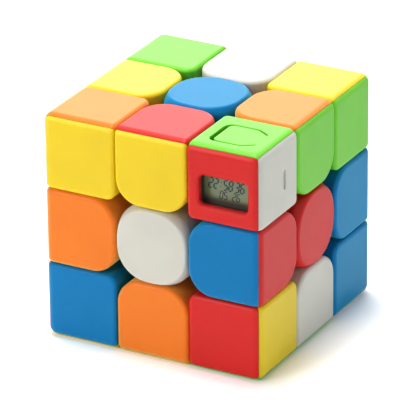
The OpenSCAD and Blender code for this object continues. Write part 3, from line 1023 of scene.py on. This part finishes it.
def edge_cup() -> Cup:
    """Shell of an edge piece that runs along X, with its face towards +Z.

    Returns:
        The shell.
    """
    gap = CUBE.seam * math.sqrt(2)

    def floor(u: float, v: float) -> float:
        """Returns where the shell ends, at the other shell or at the free space."""
        return max(v + gap, sphere_floor(u, v, CUBE.track + CUBE.run))

    side, inner = CUBE.cell_in, CUBE.edge_inner_round
    narrow, wide = CUBE.seam_fillet, CUBE.edge_fillet
    contour = Contour((-side, CUBE.cell_lo), (side, CUBE.half), radii=(inner, inner, wide, wide),
                      fillets=(narrow, narrow, wide, narrow), arc_steps=(22, 22, 12, 12))
    return Cup(contour, floor)


def near_core(corner: Vector) -> bool:
    """Tells whether a corner of a solid belongs to a shell's foot or round inner wall."""
    return corner.length <= CUBE.track + CUBE.run + CUBE.wall + CUBE.slack


@dataclass
class TwistingShells:
    """The coloured shells of all ordinary edge and corner pieces. An upper piece is named with its
    sides. A lower one gives its shells' colours, because all of one colour share a CAD node."""
    register: Register
    upper_edges: dict[str, tuple[Turn, Signs, tuple[str, str]]] = field(
        default_factory=lambda: {
            "upper_front_edge": (Turn.NONE, (1, -1, 1), ("front", "top")),
            "upper_back_edge": (Turn.NONE, (1, 1, 1), ("back", "top")),
            "upper_right_edge": (Turn.ONCE, (1, 1, 1), ("top", "right")),
            "upper_left_edge": (Turn.ONCE, (-1, 1, 1), ("top", "left")),
            "front_right_edge": (Turn.TWICE, (1, -1, 1), ("right", "front")),
            "front_left_edge": (Turn.TWICE, (-1, -1, 1), ("left", "front")),
            "back_right_edge": (Turn.TWICE, (1, 1, 1), ("right", "back")),
            "back_left_edge": (Turn.TWICE, (-1, 1, 1), ("left", "back"))})
    upper_corners: dict[str, tuple[Signs, tuple[str, str, str]]] = field(
        default_factory=lambda: {
            "front_left_corner": ((-1, -1, 1), ("left", "front", "top")),
            "back_right_corner": ((1, 1, 1), ("right", "back", "top")),
            "back_left_corner": ((-1, 1, 1), ("left", "back", "top"))})
    lower_edges: tuple[tuple[Turn, Signs, tuple[str, str]], ...] = (
        (Turn.NONE, (1, -1, -1), ("orange", "yellow")),
        (Turn.NONE, (1, 1, -1), ("white", "blue")),
        (Turn.ONCE, (1, 1, -1), ("green", "white")),
        (Turn.ONCE, (-1, 1, -1), ("blue", "yellow")))
    lower_corners: tuple[tuple[Signs, tuple[str, str, str]], ...] = (
        ((1, -1, -1), ("yellow", "red", "green")),
        ((-1, -1, -1), ("red", "blue", "yellow")),
        ((1, 1, -1), ("blue", "red", "white")),
        ((-1, 1, -1), ("blue", "orange", "white")))

    def plans(self) -> list[tuple[str, Cup, Seat, Turn]]:
        """Lists every shell.

        Returns:
            CAD node, shell, seat and side of each.
        """
        edge, corner = edge_cup(), corner_cup(CUBE.corner_inner_round, CUBE.track + CUBE.run)
        found = []
        edges = [(turn, signs, [f"{name}_{end}" for end in ends])
                 for name, (turn, signs, ends) in self.upper_edges.items()]
        edges += [(turn, signs, [f"lower_{colour}_shells" for colour in colours])
                  for turn, signs, colours in self.lower_edges]
        for turn, signs, nodes in edges:
            found.append((nodes[1], edge, Seat(turn, signs), Turn.NONE))
            found.append((nodes[0], edge, Seat(turn, signs, swapped=True), Turn.NONE))
        corners = [(signs, [f"{name}_{end}" for end in ends])
                   for name, (signs, ends) in self.upper_corners.items()]
        corners += [(signs, [f"lower_{colour}_shells" for colour in colours])
                    for signs, colours in self.lower_corners]
        for signs, nodes in corners:
            for node, side in zip(nodes, (Turn.ONCE, Turn.TWICE, Turn.NONE)):
                found.append((node, corner, Seat(Turn.NONE, signs), side))
        return found

    def build(self) -> None:
        """Builds and dresses all the shells, one piece for each CAD node."""
        forms: dict[str, bmesh.types.BMesh] = {}
        for node, cup, seat, side in self.plans():
            if node not in forms:
                forms[node] = bmesh.new()
            cup.build(forms[node], seat, side)
        for node, form in forms.items():
            copy_near(node, form, near_core)
            mesh = finish_mesh(f"{node}_form", form, normals=False)
            even_shading(self.register.add(f"{node}_shell", mesh, node))


# ---------------------------------------------------------------- centre pieces

@dataclass(frozen=True)
class CentreSizes:
    """Section of a centre piece, in millimetres along its axle."""
    flat_r: float = 8.4
    rim_round: float = 0.8
    slope: float = math.radians(32)
    cap_lo: float = 24.8
    cup_r: float = 7.3
    blend: float = 0.7
    bulge_power: float = 2.3
    ease: float = 0.08
    spigot_wall: float = 1.1
    spigot_length: float = 1.6
    around: int = 96
    rim_steps: int = 7
    side_steps: int = 8
    body_steps: int = 12


@dataclass
class CentrePieces:
    """The six centre pieces: a round-topped cap over a body that widens to a rounded square."""
    register: Register
    sizes: CentreSizes = CentreSizes()

    def square_r(self, angle: float) -> float:
        """Measures the rounded square.

        Args:
            angle: Direction from the axle.

        Returns:
            The distance from the axle to the square's side.
        """
        half, corner = CUBE.cell_in, CUBE.centre_round
        c, s = abs(math.cos(angle)), abs(math.sin(angle))
        c, s = max(c, s), min(c, s)
        if half * s / c <= half - corner:
            return half / c
        middle = half - corner
        along = middle * (c + s)
        return along + math.sqrt(max(along * along - 2 * middle * middle + corner * corner, 0.0))

    def cone_r(self, height: float) -> float:
        """Measures the round section.

        Args:
            height: Height along the axle.

        Returns:
            The radius there.
        """
        size = self.sizes
        turn = math.pi / 2 - size.slope
        rim_x = size.flat_r + size.rim_round * math.sin(turn)
        rim_z = CUBE.half - size.rim_round * (1 - math.cos(turn))
        if height >= rim_z:
            drop = size.rim_round - (CUBE.half - height)
            return size.flat_r + math.sqrt(max(size.rim_round ** 2 - drop ** 2, 0.0))
        return rim_x + (rim_z - height) * math.tan(size.slope)

    def bulge(self, angle: float) -> float:
        """Returns how far the round section swells towards the square's corners."""
        power = self.sizes.bulge_power
        return (abs(math.cos(angle)) ** power + abs(math.sin(angle)) ** power) ** (-1 / power)

    def side_r(self, angle: float, height: float) -> float:
        """Blends the round section into the rounded square.

        Args:
            angle: Direction from the axle.
            height: Height along the axle.

        Returns:
            The radius there.
        """
        a, b = self.square_r(angle), self.cone_r(height) * self.bulge(angle)
        k = self.sizes.blend
        h = max(k - abs(a - b), 0.0) / k
        return min(a, b) - h * h * k * 0.25

    def directions(self) -> list[float]:
        """Returns the directions round the axle that every ring has points in."""
        return [2 * math.pi * (i + 0.5) / self.sizes.around for i in range(self.sizes.around)]

    def ring(self, height: float, radius: Callable[[float], float] | None = None) -> list[Vector]:
        """One ring of the section.

        Args:
            height: Height along the axle.
            radius: Radius by direction, or the piece's side.

        Returns:
            The ring's points, in metres.
        """
        points = []
        for angle in self.directions():
            r = radius(angle) if radius else self.side_r(angle, height)
            points.append(Vector((r * math.cos(angle), r * math.sin(angle), height)) * MM)
        return points

    def cap_form(self) -> bmesh.types.BMesh:
        """Builds the outside of a cap, with its spigot.

        Returns:
            The form, round +Z.
        """
        size, top = self.sizes, CUBE.half
        form = bmesh.new()
        arc = math.pi / 2 - size.slope
        heights = [top - size.rim_round * (1 - math.cos(arc * k / size.rim_steps))
                   for k in range(size.rim_steps + 1)]
        low = size.cap_lo + CUBE.seam
        heights += [heights[-1] + (low + size.ease - heights[-1]) * k / size.side_steps
                    for k in range(1, size.side_steps + 1)]
        rings = [self.ring(height) for height in heights]
        rings.append(self.ring(low, lambda angle: self.side_r(angle, low) - size.ease))
        outside = size.cup_r - CUBE.seam
        inside, end = outside - size.spigot_wall, size.cap_lo - size.spigot_length
        rings += [self.ring(low, lambda _: outside), self.ring(end, lambda _: outside),
                  self.ring(end, lambda _: inside), self.ring(top - CUBE.wall, lambda _: inside)]
        strips(form, rings)
        return form

    def body_form(self, node: str, axes: Matrix) -> bmesh.types.BMesh:
        """Builds the outside of a centre body and keeps the solid's own inside.

        Args:
            node: The CAD node.
            axes: Turn from +Z to the node's axle.

        Returns:
            The form, in its place.
        """
        size = self.sizes
        form = bmesh.new()
        high = size.cap_lo - CUBE.seam
        track = CUBE.track + CUBE.run

        def foot(angle: float) -> float:
            """Returns the height at which the side meets the free space round the core."""
            r = self.square_r(angle)
            return max(math.sqrt(max(track * track - r * r, 0.0)), CUBE.layer)

        rings = [self.ring(high, lambda _: size.cup_r),
                 self.ring(high, lambda angle: self.side_r(angle, high) - size.ease)]
        for k in range(size.body_steps + 1):
            ring = []
            for angle in self.directions():
                height = high - size.ease + (foot(angle) - high + size.ease) * k / size.body_steps
                r = self.side_r(angle, height)
                ring.append(Vector((r * math.cos(angle), r * math.sin(angle), height)) * MM)
            rings.append(ring)
        strips(form, rings, cap_first=False, cap_last=False)
        bmesh.ops.transform(form, matrix=axes, verts=form.verts)
        back = axes.inverted()

        def inside(corner: Vector) -> bool:
            """Tells whether a corner of the solid lies inside the cup or at the free space."""
            return ((back @ corner).xy.length <= size.cup_r + CUBE.slack
                    or corner.length <= track + CUBE.slack)

        # The open tube may come out turned inward as a whole, so its outermost face is looked at.
        bmesh.ops.recalc_face_normals(form, faces=form.faces)
        probe = max(form.faces, key=lambda face: (back @ face.calc_center_median()).xy.length)
        out = back @ probe.calc_center_median()
        if (back.to_3x3() @ probe.normal).xy.dot(out.xy) < 0:
            bmesh.ops.reverse_faces(form, faces=form.faces)
        copy_near(node, form, inside)
        return form

    def build(self) -> None:
        """Builds and dresses the six caps and bodies."""
        for end in AXLES:
            node, axes = f"{end}_centre", axle_turn(end)
            cap = self.cap_form()
            bmesh.ops.transform(cap, matrix=axes, verts=cap.verts)
            mesh = finish_mesh(f"{node}_cap_form", cap)
            even_shading(self.register.add(f"{node}_cap_piece", mesh, f"{node}_cap"))
            mesh = finish_mesh(f"{node}_form", self.body_form(node, axes), normals=False)
            even_shading(self.register.add(f"{node}_body", mesh, node))


# ---------------------------------------------------------------- timer in the corner piece

# In millimetres: the distance within which points become one, and the least round of a corner.
TINY = 0.001
LEAST_ROUND = 0.02


def prism(outline: Callable[[float], list[Point2]], steps: Sequence[tuple[float, float]],
          side: Turn, seat: Seat) -> bpy.types.Mesh:
    """Sweeps an outline along the outward direction of a face.

    Args:
        outline: Outline by how far it is grown.
        steps: Height and growth of each ring.
        side: Turn from +Z to the face.
        seat: The piece's seat.

    Returns:
        The closed mesh.
    """
    form = bmesh.new()
    strips(form, [[face_point(seat, side, u, v, height) for u, v in outline(grow)]
                  for height, grow in steps])
    bmesh.ops.remove_doubles(form, verts=form.verts, dist=TINY * MM)
    return finish_mesh("prism", form)


def polygon_rounded(corners: Sequence[Point2], radii: Sequence[float],
                    grow: Sequence[float], steps: int = 6) -> list[Point2]:
    """Rounds the corners of a convex polygon, each of whose sides may be moved out.

    Args:
        corners: The corners, counter-clockwise.
        radii: Radius at each corner.
        grow: How far the side after each corner is moved out.
        steps: Steps of each arc.

    Returns:
        The outline.
    """
    count = len(corners)
    lines = []
    for i in range(count):
        (ax, ay), (bx, by) = corners[i], corners[(i + 1) % count]
        length = math.hypot(bx - ax, by - ay)
        way = ((bx - ax) / length, (by - ay) / length)
        lines.append(((ax + way[1] * grow[i], ay - way[0] * grow[i]), way))
    outline: list[Point2] = []
    for i in range(count):
        (p, d), (q, e) = lines[i - 1], lines[i]
        cross = d[0] * e[1] - d[1] * e[0]
        t = ((q[0] - p[0]) * e[1] - (q[1] - p[1]) * e[0]) / cross
        meet = (p[0] + d[0] * t, p[1] + d[1] * t)
        turn = math.atan2(cross, d[0] * e[0] + d[1] * e[1])
        radius = max(radii[i], LEAST_ROUND)
        back = radius * math.tan(turn / 2)
        centre = (meet[0] - d[0] * back - d[1] * radius, meet[1] - d[1] * back + d[0] * radius)
        start = math.atan2(-d[0], d[1])
        for k in range(steps + 1):
            angle = start + turn * k / steps
            outline.append((centre[0] + radius * math.cos(angle),
                            centre[1] + radius * math.sin(angle)))
    return outline


@dataclass(frozen=True)
class Rim:
    """Eased rim of an opening: how deep it goes, and how much wider than the opening it is at
    shares of that depth."""
    depth: float
    widths: tuple[Point2, ...]
    clear: float = 0.5

    def steps(self) -> list[Point2]:
        """Returns height and growth of each ring of the rim, and of a last one over the face."""
        rings = [(CUBE.half - self.depth * share, grow) for share, grow in self.widths]
        return [*rings, (CUBE.half + self.clear, self.widths[-1][1])]


@dataclass(frozen=True)
class TimerSizes:
    """Places of the window, the button and the pry slot, in the timer's own octant, in
    millimetres. An ease is how far an edge is rounded, the two rounds of the slot and the button
    are at the free end, towards the cube's front and back, and the profiles of the button's edge
    and of the peg's end are given from the face down and from the side in."""
    window: tuple[float, float, float, float] = (12.363, 24.780, 13.353, 20.680)
    window_round: float = 1.3
    bevel: float = 0.52
    bevel_depth: float = 0.5
    bevel_ease: float = 0.07
    cut_depth: float = 4.0
    button_x: float = 13.663
    taper_x: float = 20.70
    hinge_x: float = 23.85
    button_y: float = 19.0
    button_w: float = 9.3
    hinge_w: float = 5.3
    hinge_room: float = 0.01
    hinge_room_below: float = 0.06
    taper_round: float = 2.4
    hinge_round: float = 0.12
    button_t: float = 1.2
    button_ease: float = 0.24
    button_edge: tuple[Point2, ...] = ((0.0, 1.0), (0.12, 0.55), (0.5, 0.12), (1.0, 0.0))
    button_rounds: Point2 = (1.3, 1.4)
    button_chamfer: float = 0.1
    side_slot: float = 0.48
    end_slot: float = 1.05
    slot_rounds: Point2 = (1.9, 2.1)
    slot_rim: Rim = Rim(0.26, ((1.0, 0.0), (0.45, 0.04), (0.12, 0.10), (0.0, 0.26)))
    peg: Point3 = (15.933, 18.46, 24.5)
    peg_r: float = 1.1
    peg_gap: float = 0.005
    peg_end: tuple[Point2, ...] = ((0.0, 0.25), (0.1, 0.07), (0.3, 0.0), (0.8, 0.0))
    pry_middle: Point2 = (15.8, 17.9)
    pry_size: Point2 = (1.2, 4.8)
    pry_depth: float = 1.25
    pry_foot: float = 0.1
    pry_rim: Rim = Rim(0.07, ((1.0, 0.0), (0.3, 0.05), (0.0, 0.07)))


@dataclass
class TimerCorner:
    """The corner piece that holds the timer: its three shells and the button."""
    register: Register
    sizes: TimerSizes = TimerSizes()
    seat: Seat = Seat(Turn.NONE, (1, -1, 1))

    def shell(self, side: Turn) -> bpy.types.Mesh:
        """Builds one uncut shell of the timer's corner piece.

        Args:
            side: Turn from +Z to the side it faces.

        Returns:
            The shell's mesh.
        """
        form = bmesh.new()
        corner_cup(CUBE.timer_inner_round, CUBE.plug + CUBE.seam).build(form, self.seat, side)
        return finish_mesh("timer_shell_form", form)

    def cut_shell(self, node: str, side: Turn, outline: Callable[[float], list[Point2]],
                  steps: Sequence[tuple[float, float]]) -> None:
        """Builds a CAD node's shell with an opening, given as a prism's outline and steps."""
        mesh = apply_cut(self.shell(side), [prism(outline, steps, side, self.seat)])
        even_shading(self.register.add(f"{node}_piece", mesh, node))

    def button_corners(self) -> list[Point2]:
        """Lists the button's corners.

        Returns:
            The corners, counter-clockwise in the timer's own octant.
        """
        size = self.sizes
        w, n = size.button_w / 2, size.hinge_w / 2
        return [(size.button_x, size.button_y - w), (size.taper_x, size.button_y - w),
                (size.hinge_x, size.button_y - n), (size.hinge_x, size.button_y + n),
                (size.taper_x, size.button_y + w), (size.button_x, size.button_y + w)]

    def button_outline(self, side: float, end: float, hinge: float,
                       rounds: Sequence[float]) -> list[Point2]:
        """Outline of the button, or of the opening round it.

        Args:
            side: How far the long sides are moved out.
            end: How far the free end is.
            hinge: How far the hinge end is.
            rounds: Corner radii at the free end, towards the cube's front and back. In the
                timer's own octant the front is at large Y.

        Returns:
            The outline.
        """
        taper, strip = self.sizes.taper_round, self.sizes.hinge_round
        front, back = rounds
        return polygon_rounded(self.button_corners(), [back, taper, strip, strip, taper, front],
                               [side, side, hinge, side, side, end])

    def build_front(self) -> None:
        """Front shell with its bevelled window."""
        size = self.sizes
        x0, x1, z0, z1 = size.window

        def outline(grow: float) -> list[Point2]:
            """Returns the window's outline. The face's own axes are Z, then X."""
            return polygon_rounded([(z0, x0), (z1, x0), (z1, x1), (z0, x1)],
                                   [size.window_round + grow] * 4, [grow] * 4, 10)

        ease, bevel = size.bevel_ease, size.bevel
        foot, slope = CUBE.half - size.bevel_depth, bevel / size.bevel_depth
        rim = Rim(ease, ((1.0, bevel - ease * slope + 0.01), (0.3, bevel + 0.02),
                         (0.0, bevel + ease)))
        steps = [(CUBE.half - size.cut_depth, 0.0), (foot - ease, 0.0), (foot - ease * 0.3, 0.02),
                 (foot + ease, ease * slope + 0.01), *rim.steps()]
        self.cut_shell("timer_front_shell", Turn.TWICE, outline, steps)

    def build_top(self) -> None:
        """Top shell with the opening for the button, which runs out to the hinge strip."""
        size = self.sizes

        def outline(grow: float) -> list[Point2]:
            """Returns the opening's outline, eased everywhere but at the hinge."""
            return self.button_outline(size.side_slot + grow, size.end_slot + grow,
                                       size.hinge_room, [r + grow for r in size.slot_rounds])

        self.cut_shell("timer_top_shell", Turn.NONE, outline,
                       [(CUBE.half - size.cut_depth, 0.0), *size.slot_rim.steps()])

    def build_button(self) -> None:
        """The button's tab, with eased edges and the peg under it."""
        size = self.sizes
        top, ease = CUBE.half, size.button_ease
        low, below, chamfer = top - size.button_t, size.hinge_room_below, size.button_chamfer

        def ring(grow: float, height: float, room: float = size.hinge_room) -> list[Vector]:
            """Goes round the tab.

            Args:
                grow: How far its edges are moved out, but for the hinge end.
                height: At which height.
                room: Room at the hinge end.

            Returns:
                The ring's points, in metres.
            """
            rounds = [r + grow for r in size.button_rounds]
            return [self.seat.place(u, v, height)
                    for u, v in self.button_outline(grow, grow, -room, rounds)]

        form = bmesh.new()
        strips(form, [*(ring(-ease * back, top - ease * down) for down, back in size.button_edge),
                      ring(0.0, top - size.button_t / 2), ring(0.0, low + chamfer, below),
                      ring(-chamfer, low, below)])
        x, y, z = size.peg
        profile = [(size.peg_r, low - size.peg_gap),
                   *((size.peg_r - inset, z + rise) for inset, rise in size.peg_end)]
        strips(form, [[self.seat.place(x + u, y + v, height) for u, v in circle(r, 40)]
                      for r, height in profile])
        even_shading(self.register.add("timer_button_piece", finish_mesh("button_form", form),
                                       "timer_button"))

    def build_cover(self) -> None:
        """Battery cover with its pry slot."""
        size = self.sizes
        y, z = size.pry_middle
        w, h = size.pry_size[0] / 2, size.pry_size[1] / 2

        def outline(grow: float) -> list[Point2]:
            """Returns the pry slot's outline. The face's own axes are Y, then Z."""
            return polygon_rounded([(y - w, z - h), (y + w, z - h), (y + w, z + h), (y - w, z + h)],
                                   [w - 0.01 + grow] * 4, [grow] * 4, 8)

        low = CUBE.half - size.pry_depth
        self.cut_shell("battery_cover", Turn.ONCE, outline,
                       [(low, -size.pry_foot), (low + size.pry_foot, 0.0), *size.pry_rim.steps()])

    def build(self) -> None:
        """Builds the three shells and the button."""
        self.build_front()
        self.build_top()
        self.build_button()
        self.build_cover()


@dataclass(frozen=True)
class DigitRow:
    """One row of seven-segment digits: groups and their left ends, foot, digit size and pitch."""
    groups: tuple[tuple[str, float], ...]
    foot: float
    width: float
    height: float
    pitch: float
    stroke: float


@dataclass
class Display:
    """The liquid crystal panel and its digits, which stand proud of the glass by a hair."""
    register: Register
    slant: float = 0.16
    proud: float = 0.012
    sunk: float = 0.05
    ease: float = 0.08
    gap: float = 0.045
    dot_half: float = 0.17
    dot_shares: Point2 = (0.28, 0.72)
    segments: dict[str, str] = field(default_factory=lambda: {
        "0": "abcdef", "1": "bc", "2": "abged", "3": "abgcd", "4": "fgbc", "5": "afgcd",
        "6": "afgedc", "7": "abc", "8": "abcdefg", "9": "abcdfg"})
    rows: tuple[DigitRow, ...] = (
        DigitRow((("22", 1.75), (":", 4.75), ("58", 5.5), ("36", 8.45)), foot=4.4,
                 width=0.86, height=2.4, pitch=1.3, stroke=0.36),
        DigitRow((("05", 4.5), ("26", 7.7)), foot=2.1,
                 width=0.72, height=1.9, pitch=1.08, stroke=0.25))

    def bar(self, form: bmesh.types.BMesh, start: Point2, end: Point2, stroke: float,
            place: Callable[[float, float, float], Vector]) -> None:
        """Adds one segment, pointed at both ends.

        Args:
            form: Mesh that takes it.
            start: One end on the glass, from the lower left corner.
            end: The other end.
            stroke: Its width.
            place: Moves a point of the glass into the row frame.
        """
        (ax, az), (bx, bz) = start, end
        length = math.hypot(bx - ax, bz - az)
        ux, uz = (bx - ax) / length, (bz - az) / length
        half = stroke / 2
        corners = [(ax, az), (ax + (ux + uz) * half, az + (uz - ux) * half),
                   (bx - (ux - uz) * half, bz - (uz + ux) * half), (bx, bz),
                   (bx - (ux + uz) * half, bz - (uz - ux) * half),
                   (ax + (ux - uz) * half, az + (uz + ux) * half)]
        strips(form, [[place(x, z, self.proud) for x, z in corners],
                      [place(x, z, -self.sunk) for x, z in corners]])

    def bars(self, letter: str, row: DigitRow) -> list[tuple[Point2, Point2]]:
        """Lists the bars of one digit, or the two dots of a colon.

        Args:
            letter: The digit or the colon.
            row: The row it stands in.

        Returns:
            Start and end of each bar, upright, from the digit's lower left corner.
        """
        w, h, gap, half = row.width, row.height, self.gap, self.dot_half
        if letter == ":":
            return [((0.0, h * share - half), (0.0, h * share + half))
                    for share in self.dot_shares]
        m = h / 2
        ends = {"a": ((gap, h), (w - gap, h)), "g": ((gap, m), (w - gap, m)),
                "d": ((gap, 0.0), (w - gap, 0.0)), "f": ((0.0, m + gap), (0.0, h - gap)),
                "b": ((w, m + gap), (w, h - gap)), "e": ((0.0, gap), (0.0, m - gap)),
                "c": ((w, gap), (w, m - gap))}
        return [ends[name] for name in self.segments[letter]]

    def build(self) -> None:
        """Builds the panel with eased edges, and the digits on it."""
        lo, hi = (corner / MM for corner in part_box("display_panel"))

        def ring(inset: float, y: float) -> list[Vector]:
            """Goes round the panel.

            Args:
                inset: How far inside its outline.
                y: At which depth.

            Returns:
                The ring's points, in metres.
            """
            x0, x1, z0, z1 = lo.x + inset, hi.x - inset, lo.z + inset, hi.z - inset
            return [Vector(corner) * MM
                    for corner in ((x0, y, z0), (x1, y, z0), (x1, y, z1), (x0, y, z1))]

        form, ease = bmesh.new(), self.ease
        strips(form, [ring(ease, lo.y), ring(0.0, lo.y + ease), ring(0.0, hi.y - ease),
                      ring(ease, hi.y)])
        even_shading(self.register.add("display_panel_glass", finish_mesh("glass_form", form),
                                       "display_panel"))

        def place(x: float, z: float, out: float) -> Vector:
            """Moves a point of the glass into the row frame."""
            return Vector((lo.x + x, lo.y - out, lo.z + z)) * MM

        form = bmesh.new()
        lean = self.slant
        for row in self.rows:
            for text, left in row.groups:
                for k, letter in enumerate(text):
                    x = left + k * row.pitch
                    for (ax, az), (bx, bz) in self.bars(letter, row):
                        self.bar(form, (x + ax + lean * az, row.foot + az),
                                 (x + bx + lean * bz, row.foot + bz), row.stroke, place)
        self.register.add("display_digits", finish_mesh("digits_form", form), "display_panel",
                          replace=False, material=self.register.finishes.digits)


# ---------------------------------------------------------------- springs

@dataclass
class TensionSprings:
    """The tension springs under the axle screws, wound as real coils. Low is how far from the
    cube's middle they begin."""
    register: Register
    outer_r: float = 2.6
    wire_r: float = 0.3
    low: float = 14.23
    length: float = 4.0
    turns: int = 5
    steps: int = 26
    sides: int = 10

    def coil(self, form: bmesh.types.BMesh, axes: Matrix) -> None:
        """Adds one coil spring.

        Args:
            form: Mesh that takes it.
            axes: Turn from +Z to its axle.
        """
        total = self.turns * self.steps
        mean = self.outer_r - self.wire_r
        rings = []
        for i in range(total + 1):
            angle = 2 * math.pi * i / self.steps
            share = i / total
            rise = self.wire_r + (self.length - 2 * self.wire_r) * share
            centre = Vector((mean * math.cos(angle), mean * math.sin(angle), self.low + rise))
            out, up = Vector((math.cos(angle), math.sin(angle), 0.0)), Vector((0.0, 0.0, 1.0))
            rings.append([axes @ ((centre + out * u + up * v) * MM)
                          for u, v in circle(self.wire_r, self.sides)])
        strips(form, rings)

    def build(self) -> None:
        """Winds the six springs."""
        form = bmesh.new()
        for end in AXLES:
            self.coil(form, axle_turn(end))
        self.register.add("tension_spring_coils", finish_mesh("coils_form", form, 50.0),
                          "tension_springs")


# ---------------------------------------------------------------- studio

@dataclass(frozen=True)
class Softbox:
    """A soft lamp: where it hangs, its size and its light."""
    name: str
    place: Point3
    size: float
    power: float
    tint: Colour = (1.0, 1.0, 1.0)

    def hang(self) -> None:
        """Adds the lamp, aimed at the cube."""
        data = bpy.data.lights.new(self.name, "AREA")
        data.shape, data.size, data.energy, data.color = "DISK", self.size, self.power, self.tint
        lamp = bpy.data.objects.new(self.name, data)
        lamp.location = self.place
        lamp.rotation_euler = (-Vector(self.place)).to_track_quat("-Z", "Y").to_euler()
        lamp.visible_camera = False
        bpy.context.scene.collection.objects.link(lamp)


@dataclass(frozen=True)
class CameraPlan:
    """The photograph's view: its direction and roll, the distance and the lens, and how far it
    aims off the cube's middle."""
    azimuth: float = math.radians(28.55)
    elevation: float = math.radians(24.30)
    roll: float = math.radians(-0.52)
    distance: float = 1.0
    lens: float = 373.2
    aside: float = 0.00028
    above: float = 0.00110

    def place(self) -> None:
        """Adds the camera."""
        a, e = self.azimuth, self.elevation
        back = Vector((math.sin(a) * math.cos(e), -math.cos(a) * math.cos(e), math.sin(e)))
        right = Vector((0, 0, 1)).cross(back).normalized()
        up = back.cross(right)
        c, s = math.cos(self.roll), math.sin(self.roll)
        right, up = right * c + up * s, up * c - right * s
        data = bpy.data.cameras.new("photo_view")
        data.lens, data.sensor_width = self.lens, 36.0
        data.clip_start, data.clip_end = 0.01, 20.0
        camera = bpy.data.objects.new("photo_view", data)
        at = back * self.distance - right * self.aside - up * self.above
        camera.matrix_world = Matrix((
            (right.x, up.x, back.x, at.x), (right.y, up.y, back.y, at.y),
            (right.z, up.z, back.z, at.z), (0, 0, 0, 1)))
        bpy.context.scene.collection.objects.link(camera)
        bpy.context.scene.camera = camera


@dataclass
class Studio:
    """Pale floor, soft lamps, a white surround and the camera. The camera sees the floor lighter
    than it lights the cube, and its drop keeps it clear of the bottom faces."""
    floor_half: float = 1.5
    floor_drop: float = 0.02
    floor_lit: float = 0.90
    floor_seen: float = 1.28
    surround: float = 0.32
    lamps: tuple[Softbox, ...] = (
        Softbox("overhead", (-0.10, 0.06, 0.80), size=0.3, power=6.0),
        Softbox("front_left", (-0.38, -0.66, 0.42), size=0.5, power=2.95),
        Softbox("back_left", (-0.42, 0.78, 0.40), size=0.9, power=4.0),
        Softbox("right_fill", (0.75, -0.10, 0.05), size=0.5, power=0.75, tint=(0.62, 0.90, 1.0)))

    def build_floor(self) -> None:
        """Lays the floor under the cube."""
        form = bmesh.new()
        bmesh.ops.create_grid(form, x_segments=1, y_segments=1, size=self.floor_half)
        mesh = bpy.data.meshes.new("studio_floor")
        form.to_mesh(mesh)
        form.free()
        floor = bpy.data.objects.new("studio_floor", mesh)
        floor.location = (0, 0, -(CUBE.half + self.floor_drop) * MM)
        bpy.context.scene.collection.objects.link(floor)
        material = bpy.data.materials.new("studio_white")
        material.use_nodes = True
        tree = material.node_tree
        tree.nodes.clear()
        path = tree.nodes.new("ShaderNodeLightPath").outputs
        tone = add_node(tree, "ShaderNodeMapRange",
                        {"To Min": self.floor_lit, "To Max": self.floor_seen},
                        {"Value": path["Is Camera Ray"]})
        matt = add_node(tree, "ShaderNodeBsdfDiffuse", {}, {"Color": tone.outputs["Result"]})
        add_node(tree, "ShaderNodeOutputMaterial", {}, {"Surface": matt.outputs["BSDF"]})
        mesh.materials.append(material)

    def build_surround(self) -> None:
        """Lights the scene softly from all round, and shows plain white behind it."""
        world = bpy.data.worlds.new("white_surround")
        bpy.context.scene.world = world
        world.use_nodes = True
        tree = world.node_tree
        tree.nodes.clear()
        path = tree.nodes.new("ShaderNodeLightPath").outputs
        seen = add_math(tree, "MAXIMUM", path["Is Camera Ray"], path["Is Glossy Ray"])
        clear = add_math(tree, "MAXIMUM", seen, path["Is Transmission Ray"])
        strength = add_node(tree, "ShaderNodeMapRange",
                            {"To Min": self.surround, "To Max": 1.0}, {"Value": clear})
        light = add_node(tree, "ShaderNodeBackground", {"Color": (1, 1, 1, 1)},
                         {"Strength": strength.outputs["Result"]})
        add_node(tree, "ShaderNodeOutputWorld", {}, {"Surface": light.outputs["Background"]})

    def build(self) -> None:
        """Builds the floor, the surround, the lamps and the camera."""
        self.build_floor()
        self.build_surround()
        for lamp in self.lamps:
            lamp.hang()
        CameraPlan().place()
        bpy.context.scene.view_settings.view_transform = "Standard"


def main() -> None:
    """Builds every sub-assembly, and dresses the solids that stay."""
    logging.basicConfig(level=logging.INFO, format="%(name)s: %(message)s")
    register = Register(Finishes())
    TwistingShells(register).build()
    CentrePieces(register).build()
    TimerCorner(register).build()
    Display(register).build()
    TensionSprings(register).build()
    for node in frame["nodes"]:
        if node not in register.replaced:
            register.dress(node)
    Studio().build()


if __name__ == "__main__":
    main()
